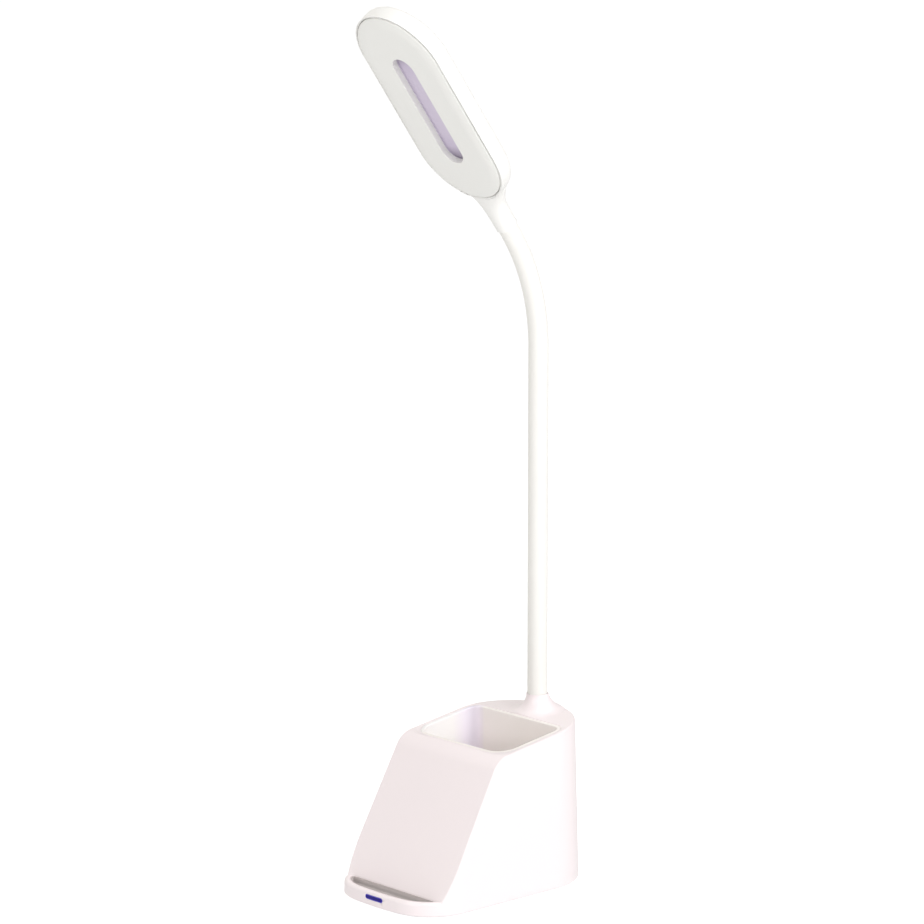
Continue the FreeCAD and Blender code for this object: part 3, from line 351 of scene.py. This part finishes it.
def cup_finish(name):
    """White of the pocket's liner, with painted light that makes the left wall lighter and cooler, and a
    painted violet shade at its rear corner.
    """
    made, tree, surface = shader(name, (0.94, 0.88, 0.86), 0.38)
    axes = object_axes(tree)
    aside = figure(tree, "SUBTRACT", axes["X"], CUP_CORNER[0])
    ahead = figure(tree, "SUBTRACT", axes["Y"], CUP_CORNER[1])
    # Painted light: the left wall, which faces the light, is lighter and cooler than the rest of the pocket.
    lit_wall = ramp(tree, figure(tree, "DIVIDE", aside, CUP_LIT_WALL_REACH), [
        (0.0, (0.975, 0.96, 0.955)), (1.0, (0.955, 0.90, 0.87))])
    # Painted shade: a violet shade darkens the pocket towards its rear-left corner.
    inwards = figure(tree, "MULTIPLY", aside, CUP_CORNER_SHADE_REACH / CUP_LIT_WALL_REACH)
    corner_shade = ramp(tree, figure(tree, "DIVIDE", distance(tree, inwards, ahead), CUP_CORNER_SHADE_REACH), [
        (0.0, (0.78, 0.73, 0.84)), (0.45, (0.94, 0.90, 1.0)), (1.0, WHITE)])
    tree.links.new(mixed(tree, lit_wall, corner_shade, 1.0, "MULTIPLY"), surface.inputs["Base Color"])
    fine = grain_noise(tree)
    tree.links.new(ranged(tree, fine, 0.34, 0.42), surface.inputs["Roughness"])
    bumped(tree, surface, fine, GRAIN_DEPTH, GRAIN_STRENGTH)
    return made


def lens_finish(name):
    """Deep blue lens with painted light along its edge, where the light leaks out."""
    made, tree, surface = shader(name, (0.02, 0.012, 0.2), 0.16)
    axes = object_axes(tree)
    past = figure(tree, "SUBTRACT", figure(tree, "ABSOLUTE", axes["X"]), LENS_STRAIGHT)
    across = figure(tree, "MAXIMUM", past, 0.0)
    rise = figure(tree, "SUBTRACT", axes["Z"], LENS_LEVEL)
    # Painted light: the blue turns lighter and paler towards the lens's edge.
    colour = ramp(tree, figure(tree, "DIVIDE", distance(tree, across, rise), LENS_RADIUS), [
        (0.0, (0.010, 0.006, 0.17)), (0.55, (0.018, 0.010, 0.28)),
        (0.82, (0.08, 0.055, 0.50)), (1.0, (0.55, 0.50, 0.78))])
    tree.links.new(colour, surface.inputs["Base Color"])
    cloud = noise(tree, 900.0)
    tree.links.new(ranged(tree, cloud, 0.12, 0.2), surface.inputs["Roughness"])
    surface.inputs["Specular IOR Level"].default_value = 0.25
    return made


def board_finish(name, mask, track, pad):
    """Printed board: solder mask with the tracks that show through it and tinned pads."""
    made, tree, surface = shader(name, mask, 0.32)
    tracks = tree.nodes.new("ShaderNodeTexBrick")
    for label, part in (("Scale", 260.0), ("Mortar Size", 0.06), ("Brick Width", 1.4), ("Color1", mask),
                        ("Color2", mask), ("Mortar", track), ("Vector", object_place(tree))):
        feed(tree, tracks.inputs[label], part)
    pads = tree.nodes.new("ShaderNodeTexVoronoi")
    pads.inputs["Scale"].default_value = 420.0
    tree.links.new(object_place(tree), pads.inputs["Vector"])
    near = figure(tree, "LESS_THAN", pads.outputs["Distance"], 0.16)
    tree.links.new(mixed(tree, tracks.outputs["Color"], pad, near), surface.inputs["Base Color"])
    tree.links.new(figure(tree, "MULTIPLY", near, 0.8), surface.inputs["Metallic"])
    bumped(tree, surface, tracks, 0.02 * MM, MARK_STRENGTH)
    return made


shell_white = moulded("shell_white", (0.93, 0.845, 0.86), (0.95, 0.865, 0.87), (0.30, 0.38), clear=0.15)
head_white = moulded("head_white", (0.89, 0.88, 0.855), (0.91, 0.90, 0.875), (0.28, 0.36), clear=0.15)
pocket_liner_painted_light = cup_finish("pocket_liner_painted_light")
opal_panel = moulded("opal_panel", (0.85, 0.845, 0.815), (0.88, 0.875, 0.845), (0.42, 0.5), grain=2600.0)
slot_violet_painted_shade = slot_finish("slot_violet_painted_shade")
silicone = moulded("silicone_sleeve", (0.86, 0.845, 0.81), (0.88, 0.865, 0.83), (0.42, 0.52),
                   grain=900.0, depth=0.02 * MM, cloud=60.0)
grip_rubber = moulded("grip_rubber", (0.50, 0.45, 0.44), (0.55, 0.50, 0.49), (0.6, 0.75),
                      grain=1500.0, depth=0.04 * MM)
foot_rubber = moulded("foot_rubber", (0.42, 0.41, 0.41), (0.48, 0.47, 0.47), (0.6, 0.8),
                      grain=1200.0, depth=0.05 * MM)
cover_grain = moulded("cover_grain", (0.88, 0.84, 0.85), (0.90, 0.86, 0.87), (0.5, 0.6),
                      grain=1400.0, depth=0.06 * MM)
lens_blue_painted_edge_light = lens_finish("lens_blue_painted_edge_light")
plated_steel = brushed("plated_steel", (0.66, 0.66, 0.68), (0.56, 0.56, 0.58))
spring_brass = brushed("spring_brass", (0.74, 0.62, 0.38), (0.66, 0.53, 0.30))
ballast_steel = brushed("ballast_steel", (0.36, 0.36, 0.37), (0.28, 0.28, 0.29), (0.4, 0.6))
board_green = board_finish("board_green", (0.02, 0.16, 0.06), (0.04, 0.26, 0.11), (0.72, 0.68, 0.58))
board_pale = board_finish("board_pale", (0.80, 0.80, 0.79), (0.70, 0.70, 0.68), (0.74, 0.72, 0.66))
chip_black = moulded("chip_black", (0.03, 0.03, 0.032), (0.045, 0.045, 0.047), (0.45, 0.6), cloud=500.0)
phosphor = moulded("phosphor", (0.85, 0.66, 0.14), (0.88, 0.72, 0.2), (0.3, 0.4), cloud=600.0)
cell_wrap = moulded("cell_wrap", (0.05, 0.20, 0.42), (0.06, 0.23, 0.46), (0.2, 0.3), clear=0.4)
cable_white = moulded("cable_white", (0.74, 0.74, 0.73), (0.78, 0.78, 0.77), (0.4, 0.5))
coil_copper = brushed("coil_copper", (0.72, 0.38, 0.20), (0.60, 0.30, 0.15),
                      stretch=(300.0, 300.0, 4000.0))
can_silver = brushed("can_silver", (0.78, 0.78, 0.79), (0.70, 0.70, 0.71))
plug_cream = moulded("plug_cream", (0.82, 0.80, 0.72), (0.86, 0.84, 0.77), (0.35, 0.45), cloud=200.0)
contact_gold = brushed("contact_gold", (0.86, 0.66, 0.28), (0.78, 0.58, 0.22))

# Finish of a part on the control board: the first whose height it stays under
BOARD_PARTS = ((2.5 * MM, chip_black), (3.7 * MM, coil_copper), (4.6 * MM, plug_cream),
               (9.0 * MM, can_silver))

# Finish of the CAD nodes that are shown as they are
NODE_FINISHES = {
    "battery_contacts": spring_brass, "ballast_plate": ballast_steel, "control_board": board_green,
    "indicator_led": phosphor, "touch_plate": spring_brass, "charging_board": board_green,
    "neck_ferrule": plated_steel, "neck_washer": plated_steel, "neck_nut": plated_steel,
    "led_board": board_pale, "led_chips": phosphor, "head_ferrule": plated_steel,
    **{"neck_core_" + str(k): plated_steel for k in range(PIVOTS + 1)},
}


# Meshes

def link(name, data):
    """New object in the scene."""
    made = bpy.data.objects.new(name, data)
    bpy.context.scene.collection.objects.link(made)
    return made


def coat(obj, material):
    """Gives an object one material."""
    obj.data.materials.clear()
    obj.data.materials.append(material)


def smooth(obj):
    """Smooth shading with the sharp edges kept."""
    obj.data.polygons.foreach_set("use_smooth", [True] * len(obj.data.polygons))
    obj.data.set_sharp_from_angle(angle=SHARP_ANGLE)


def evened(obj):
    """Smooth shading that the large faces decide."""
    smooth(obj)
    weigh = obj.modifiers.new("weigh", "WEIGHTED_NORMAL")
    weigh.keep_sharp = True


def body_of(node):
    """Body that a CAD node moves with."""
    return frame["nodes"][node]["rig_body"]


def keep(obj, body, slot, material, *nodes):
    """Gives a finished piece its material and its body, and hides the CAD nodes that it stands for."""
    coat(obj, material)
    if nodes:
        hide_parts(*nodes)
    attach(obj, body)


def merged(name, node):
    """Copy of a CAD node's mesh with its doubled points merged and its flat faces joined."""
    mesh = frame["nodes"][node].data.copy()
    mesh.name = name
    work = bmesh.new()
    work.from_mesh(mesh)
    bmesh.ops.remove_doubles(work, verts=work.verts, dist=MERGE_DISTANCE)
    bmesh.ops.dissolve_limit(work, angle_limit=FLAT_ANGLE, verts=work.verts, edges=work.edges)
    work.to_mesh(mesh)
    work.free()
    return link(name, mesh)


def dressed(name, node, slot, material, worn_edge=0.0):
    """Merged, smooth copy of a CAD node, which stands for the node, with rounded edges where asked."""
    made = merged(name, node)
    if worn_edge:
        soft = made.modifiers.new("soft", "BEVEL")
        soft.width = worn_edge
        soft.segments = 2
        soft.limit_method = "ANGLE"
        soft.angle_limit = WORN_ANGLE
    evened(made)
    keep(made, body_of(node), slot, material, node)


def loose_parts(mesh):
    """The loose parts of a mesh, each as a list of its vertices' numbers."""
    owner = list(range(len(mesh.vertices)))

    def root(i):
        while owner[i] != i:
            owner[i] = owner[owner[i]]
            i = owner[i]
        return i

    for edge in mesh.edges:
        owner[root(edge.vertices[0])] = root(edge.vertices[1])
    groups = {}
    for i in range(len(owner)):
        groups.setdefault(root(i), []).append(i)
    return list(groups.values())


def face_centres(mesh, outwards):
    """Middle of the end face of each loose part, on the side that the vector points to."""
    centres = []
    for part in loose_parts(mesh):
        points = [mesh.vertices[i].co for i in part]
        high = max(point.dot(outwards) for point in points)
        rim = [point for point in points if high - point.dot(outwards) < END_FACE_DEPTH]
        centres.append(sum(rim, Vector()) / len(rim))
    return centres


# Geometry node trees

def new_tree(name, sizes, places=False):
    """Empty geometry tree with an input for each size, and one for an object of places if asked."""
    tree = bpy.data.node_groups.new(name, "GeometryNodeTree")
    tree.interface.new_socket("Geometry", in_out="INPUT", socket_type="NodeSocketGeometry")
    for label, value in sizes.items():
        kind = "NodeSocketInt" if isinstance(value, int) else "NodeSocketFloat"
        socket = tree.interface.new_socket(label, in_out="INPUT", socket_type=kind)
        socket.default_value = value
    if places:
        tree.interface.new_socket("Places", in_out="INPUT", socket_type="NodeSocketObject")
    tree.interface.new_socket("Material", in_out="INPUT", socket_type="NodeSocketMaterial")
    tree.interface.new_socket("Geometry", in_out="OUTPUT", socket_type="NodeSocketGeometry")
    return tree, tree.nodes.new("NodeGroupInput"), tree.nodes.new("NodeGroupOutput")


def finish_tree(tree, start, end, geometry):
    """Ends a tree: real geometry with its material set."""
    realize = tree.nodes.new("GeometryNodeRealizeInstances")
    paint = tree.nodes.new("GeometryNodeSetMaterial")
    tree.links.new(geometry, realize.inputs["Geometry"])
    tree.links.new(realize.outputs["Geometry"], paint.inputs["Geometry"])
    tree.links.new(start.outputs["Material"], paint.inputs["Material"])
    tree.links.new(paint.outputs["Geometry"], end.inputs["Geometry"])


def box_mesh(tree, **sizes):
    """Box with its sizes along X, Y and Z."""
    made = tree.nodes.new("GeometryNodeMeshCube")
    tree.links.new(vector(tree, **sizes), made.inputs["Size"])
    return made.outputs["Mesh"]


def set_on_points(tree, points, shape):
    """A copy of a shape on each point."""
    put = tree.nodes.new("GeometryNodeInstanceOnPoints")
    tree.links.new(points, put.inputs["Points"])
    tree.links.new(shape, put.inputs["Instance"])
    return put


def tube_tree():
    """Outer wall and bore along a curve, each from a ring of its own radius."""
    tree, start, end = new_tree("tube_along_path", {"Outer": 1.0, "Wall": 0.1, "Sides": SLEEVE_SIDES})
    bore = figure(tree, "SUBTRACT", start.outputs["Outer"], start.outputs["Wall"])
    join = tree.nodes.new("GeometryNodeJoinGeometry")
    for radius in (start.outputs["Outer"], bore):
        ring = tree.nodes.new("GeometryNodeCurvePrimitiveCircle")
        tree.links.new(start.outputs["Sides"], ring.inputs["Resolution"])
        tree.links.new(radius, ring.inputs["Radius"])
        sweep = tree.nodes.new("GeometryNodeCurveToMesh")
        tree.links.new(start.outputs["Geometry"], sweep.inputs["Curve"])
        tree.links.new(ring.outputs["Curve"], sweep.inputs["Profile Curve"])
        tree.links.new(sweep.outputs["Mesh"], join.inputs["Geometry"])
    finish_tree(tree, start, end, join.outputs["Geometry"])
    return tree


def recess_tree():
    """Cuts a cross for the screwdriver into a screw head at each place."""
    sizes = {"Length": 1.0, "Width": 0.2, "Depth": 0.2, "Turn": 0.0}
    tree, start, end = new_tree("driver_recess", sizes, places=True)
    spots = tree.nodes.new("GeometryNodeObjectInfo")
    tree.links.new(start.outputs["Places"], spots.inputs["Object"])
    deep = figure(tree, "MULTIPLY", start.outputs["Depth"], 2.0)
    turn = vector(tree, X=start.outputs["Turn"])
    cut = tree.nodes.new("GeometryNodeMeshBoolean")
    cut.operation = "DIFFERENCE"
    tree.links.new(start.outputs["Geometry"], cut.inputs["Mesh 1"])
    for first, second in (("Length", "Width"), ("Width", "Length")):
        bar = box_mesh(tree, X=start.outputs[first], Y=start.outputs[second], Z=deep)
        put = set_on_points(tree, spots.outputs["Geometry"], bar)
        tree.links.new(turn, put.inputs["Rotation"])
        solid = tree.nodes.new("GeometryNodeRealizeInstances")
        tree.links.new(put.outputs["Instances"], solid.inputs["Geometry"])
        tree.links.new(solid.outputs["Geometry"], cut.inputs["Mesh 2"])
    finish_tree(tree, start, end, cut.outputs["Mesh"])
    return tree


def contact_tree():
    """Two rows of thin contact strips, above and below a tongue."""
    sizes = {"Count": 12, "Pitch": 0.5, "Width": 0.2, "Length": 1.0, "Thickness": 0.1, "Rise": 0.3}
    tree, start, end = new_tree("contact_rows", sizes)
    strip = box_mesh(tree, X=start.outputs["Width"], Y=start.outputs["Length"],
                     Z=start.outputs["Thickness"])
    step = vector(tree, X=start.outputs["Pitch"])
    last = figure(tree, "SUBTRACT", start.outputs["Count"], 1.0)
    span = figure(tree, "MULTIPLY", last, start.outputs["Pitch"])
    aside = figure(tree, "MULTIPLY", span, -0.5)
    join = tree.nodes.new("GeometryNodeJoinGeometry")
    for side in (1.0, -1.0):
        rise = figure(tree, "MULTIPLY", start.outputs["Rise"], side)
        row = tree.nodes.new("GeometryNodeMeshLine")
        tree.links.new(start.outputs["Count"], row.inputs["Count"])
        tree.links.new(vector(tree, X=aside, Z=rise), row.inputs["Start Location"])
        tree.links.new(step, row.inputs["Offset"])
        put = set_on_points(tree, row.outputs["Mesh"], strip)
        tree.links.new(put.outputs["Instances"], join.inputs["Geometry"])
    finish_tree(tree, start, end, join.outputs["Geometry"])
    return tree


tube = tube_tree()
cross_recess = recess_tree()
gilt_strips = contact_tree()


def grown(name, source, tree, material, places=None, **sizes):
    """Plain mesh that a tree makes from a source object, which is removed with the object of places."""
    given = {"Material": material, "Places": places, **sizes}
    modifier = source.modifiers.new("grow", "NODES")
    modifier.node_group = tree
    for item in tree.interface.items_tree:
        if item.item_type == "SOCKET" and item.in_out == "INPUT" and item.name in given:
            modifier[item.identifier] = given[item.name]
    bpy.context.view_layer.update()
    depsgraph = bpy.context.evaluated_depsgraph_get()
    mesh = bpy.data.meshes.new_from_object(source.evaluated_get(depsgraph))
    bpy.data.objects.remove(source)
    if places:
        bpy.data.objects.remove(places)
    mesh.name = name
    return link(name, mesh)


def place_points(name, places):
    """Object of loose points, one for each place."""
    data = bpy.data.meshes.new(name)
    data.from_pydata([tuple(place) for place in places], [], [])
    return link(name, data)


def path_curve(name, points):
    """Curve object that runs straight from point to point."""
    data = bpy.data.curves.new(name, "CURVE")
    data.dimensions = "3D"
    spline = data.splines.new("POLY")
    spline.points.add(len(points) - 1)
    for place, point in zip(spline.points, points):
        place.co = (*point, 1.0)
    return link(name, data)


# The neck's flexible pieces

def close_ends(obj):
    """Bridges the outer and inner rims at each end of a double tube and turns the faces outwards."""
    work = bmesh.new()
    work.from_mesh(obj.data)
    rims = [edge for edge in work.edges if edge.is_boundary]
    middle = sum((edge.verts[0].co for edge in rims), Vector()) / len(rims)
    anchor = rims[0].verts[0].co
    ends = {}
    for edge in rims:
        near = (edge.verts[0].co - anchor).length < (middle - anchor).length
        ends.setdefault(near, []).append(edge)
    for end in ends.values():
        bmesh.ops.bridge_loops(work, edges=end)
    bmesh.ops.recalc_face_normals(work, faces=work.faces)
    work.to_mesh(obj.data)
    work.free()


def neck_tube(name, low, high, radius, wall, sides, material):
    """Tube along the neck's middle line between two lengths."""
    count = max(2, int(round((high - low) / RING_STEP)))
    points = [neck_point(low + (high - low) * i / count) for i in range(count + 1)]
    path = path_curve(name + "_path", points)
    made = grown(name, path, tube, material, Outer=radius, Wall=wall, Sides=sides)
    close_ends(made)
    smooth(made)
    return made


def pivot(k):
    """Length along the neck of hinge k, from 0 at the foot."""
    return FIRST_PIVOT + (LAST_PIVOT - FIRST_PIVOT) * k / (PIVOTS - 1)


def neck_cut(k):
    """Length where the flexible pieces of hinges k - 1 and k meet."""
    return (pivot(k - 1) + pivot(k)) / 2


def flexible(name, material, first, last, radius, wall, sides, nodes=()):
    """Pieces along the neck that each span one hinge and meet between the hinges."""
    for k in range(PIVOTS):
        low = first if k == 0 else neck_cut(k)
        high = last if k == PIVOTS - 1 else neck_cut(k + 1)
        made = neck_tube(name + "_" + str(k + 1), low, high, radius, wall, sides, material)
        coat(made, material)
        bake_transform(made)
        if nodes:
            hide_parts(*nodes[k])


def cable_end(name, body, place, outwards):
    """The rigid part of the cable beyond a cut across the neck, closed at the cut."""
    made = merged(name, "lamp_cable")
    work = bmesh.new()
    work.from_mesh(made.data)
    everything = work.verts[:] + work.edges[:] + work.faces[:]
    bmesh.ops.bisect_plane(work, geom=everything, plane_co=place, plane_no=outwards, clear_inner=True)
    rim = [edge for edge in work.edges if edge.is_boundary]
    bmesh.ops.edgeloop_fill(work, edges=rim)
    bmesh.ops.recalc_face_normals(work, faces=work.faces)
    work.to_mesh(made.data)
    work.free()
    smooth(made)
    keep(made, body, "cable_jacket", cable_white, "lamp_cable")


# Small fittings

def driven(name, node, outwards, turn, cross):
    """Screws of a CAD node with a cross cut into each head."""
    source = merged(name, node)
    places = place_points(name + "_places", face_centres(source.data, outwards))
    made = grown(name, source, cross_recess, plated_steel, places=places, Turn=turn, **cross)
    evened(made)
    keep(made, body_of(node), "steel", plated_steel, node)


def contact_rows():
    """Thin gilt strips on the tongue of the charging socket."""
    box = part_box("charging_socket")
    low, high = Vector(box[0]), Vector(box[1])
    middle = place_points("socket_middle", [(0.0, 0.0, 0.0)])
    made = grown("socket_contacts", middle, gilt_strips, contact_gold, **CONTACTS)
    made.data.transform(Matrix.Translation((0.0, low.y + CONTACT_INSET, (low.z + high.z) / 2)))
    smooth(made)
    keep(made, "base", "spring_metal", contact_gold)


def mounted_parts():
    """Chips, coil, plug and capacitor on the control board, each in its own finish by its height."""
    made = merged("mounted_parts", "board_parts")
    keep(made, body_of("board_parts"), "chip", chip_black, "board_parts")
    for _, material in BOARD_PARTS[1:]:
        made.data.materials.append(material)
    finish = {}
    for part in loose_parts(made.data):
        heights = [made.data.vertices[i].co.z for i in part]
        tall = max(heights) - min(heights)
        index = next(i for i, (limit, _) in enumerate(BOARD_PARTS) if tall < limit)
        finish.update({i: index for i in part})
    for face in made.data.polygons:
        face.material_index = finish[face.vertices[0]]
    evened(made)


# The pieces

dressed("moulded_housing", "base_housing", "shell", shell_white)
dressed("pocket_liner", "pen_cup", "shell", pocket_liner_painted_light)
dressed("underside_cover", "bottom_cover", "shell", cover_grain)
dressed("groove_grip", "grip_liner", "grip", grip_rubber)
dressed("blue_lens", "indicator_lens", "lens", lens_blue_painted_edge_light)
dressed("head_shell", "head_housing", "shell", head_white)
dressed("light_panel", "diffuser", "opal", opal_panel)
dressed("slot_liner", "recess_tray", "shell", slot_violet_painted_shade)
dressed("socket_shell", "charging_socket", "steel", plated_steel)
dressed("soft_feet", "rubber_feet", "foot_rubber", foot_rubber, FOOT_EDGE)
dressed("sealed_cell", "battery_cell", "cell_can", cell_wrap, CELL_EDGE)

sleeve_nodes = [["neck_sleeve_" + str(k)] for k in range(PIVOTS)]
sleeve_nodes[-1].append("neck_sleeve_" + str(PIVOTS))
flexible("sleeve", silicone, SLEEVE_FOOT, NECK_LENGTH,
         SLEEVE_RADIUS, SLEEVE_WALL, SLEEVE_SIDES, sleeve_nodes)

cable_end("cable_in_base", "base", neck_point(CABLE_FIRST), Vector((0.0, 0.0, -1.0)))
cable_end("cable_in_head", "head", neck_point(CABLE_LAST), HEAD_UP)
flexible("cable_in_neck", cable_white, CABLE_FIRST, CABLE_LAST,
         CABLE_RADIUS, CABLE_WALL, CABLE_SIDES)

driven("cross_screws_cover", "cover_screws", Vector((0.0, 0.0, -1.0)), 0.0, COVER_CROSS)
driven("cross_screws_head", "head_screws", PANEL_FRONT, math.pi / 2 + HEAD_TILT, HEAD_CROSS)
contact_rows()
mounted_parts()
for node, material in NODE_FINISHES.items():
    coat(frame["nodes"][node], material)


# Stage, lights and camera

def stage():
    """Plain pale floor that glows a little, more where the camera sees it."""
    corners = [(-FLOOR_REACH, -FLOOR_REACH, 0), (FLOOR_REACH, -FLOOR_REACH, 0),
               (FLOOR_REACH, FLOOR_REACH, 0), (-FLOOR_REACH, FLOOR_REACH, 0)]
    data = bpy.data.meshes.new("floor")
    data.from_pydata(corners, [], [(0, 1, 2, 3)])
    floor = link("floor", data)
    made, tree, surface = shader("floor_white", (0.30, 0.30, 0.30), 0.9)
    surface.inputs["Specular IOR Level"].default_value = 0.0
    surface.inputs["Emission Color"].default_value = (*WHITE, 1.0)
    path = tree.nodes.new("ShaderNodeLightPath")
    seen = figure(tree, "MULTIPLY", path.outputs["Is Camera Ray"], FLOOR_GLOW_SEEN)
    tree.links.new(figure(tree, "ADD", seen, FLOOR_GLOW), surface.inputs["Emission Strength"])
    floor.data.materials.append(made)


def sky():
    """Warm light from the left side, which fades to almost none on the right, where the lights are."""
    world = bpy.data.worlds.new("studio")
    world.use_nodes = True
    tree = world.node_tree
    glow = tree.nodes["Background"]
    glow.inputs["Color"].default_value = (*SKY_COLOUR, 1.0)
    place = tree.nodes.new("ShaderNodeTexCoord")
    split = tree.nodes.new("ShaderNodeSeparateXYZ")
    spread = tree.nodes.new("ShaderNodeMapRange")
    for label, value in (("From Min", -1.0), ("From Max", 0.0), ("To Min", SKY_LEFT), ("To Max", SKY_RIGHT)):
        spread.inputs[label].default_value = value
    tree.links.new(place.outputs["Generated"], split.inputs["Vector"])
    tree.links.new(split.outputs["X"], spread.inputs["Value"])
    tree.links.new(spread.outputs["Result"], glow.inputs["Strength"])
    bpy.context.scene.world = world


def softbox(name, place, size, power):
    """Rectangular light that faces the lamp."""
    data = bpy.data.lights.new(name, "AREA")
    data.shape = "RECTANGLE"
    data.size, data.size_y = size
    data.energy = power
    made = link(name, data)
    made.location = place
    made.rotation_euler = (LIGHT_TARGET - Vector(place)).to_track_quat("-Z", "Y").to_euler()


def camera():
    """The photograph's camera."""
    turn, tilt = CAMERA_TURN, CAMERA_TILT
    right = Vector((math.cos(turn), math.sin(turn), 0.0))
    back = Vector((math.sin(turn) * math.cos(tilt), -math.cos(turn) * math.cos(tilt), math.sin(tilt)))
    up = back.cross(right)
    data = bpy.data.cameras.new("camera")
    data.sensor_fit = "HORIZONTAL"
    data.sensor_width = SENSOR_WIDTH
    data.lens = FOCAL_PIXELS / IMAGE_PIXELS * SENSOR_WIDTH
    data.clip_start = 0.1
    data.clip_end = 100.0
    view = link("camera", data)
    place = (right * ASIDE_PIXELS + up * ABOVE_PIXELS + back * FOCAL_PIXELS) * PIXEL_SIZE
    place += Vector((0.0, 0.0, STAND_HEIGHT))
    view.matrix_world = Matrix.Translation(place) @ Matrix((right, up, back)).transposed().to_4x4()
    bpy.context.scene.camera = view


stage()
sky()
for light in SOFTBOXES:
    softbox(*light)
camera()
bpy.context.scene.view_settings.view_transform = "Standard"
bpy.context.scene.view_settings.look = "None"
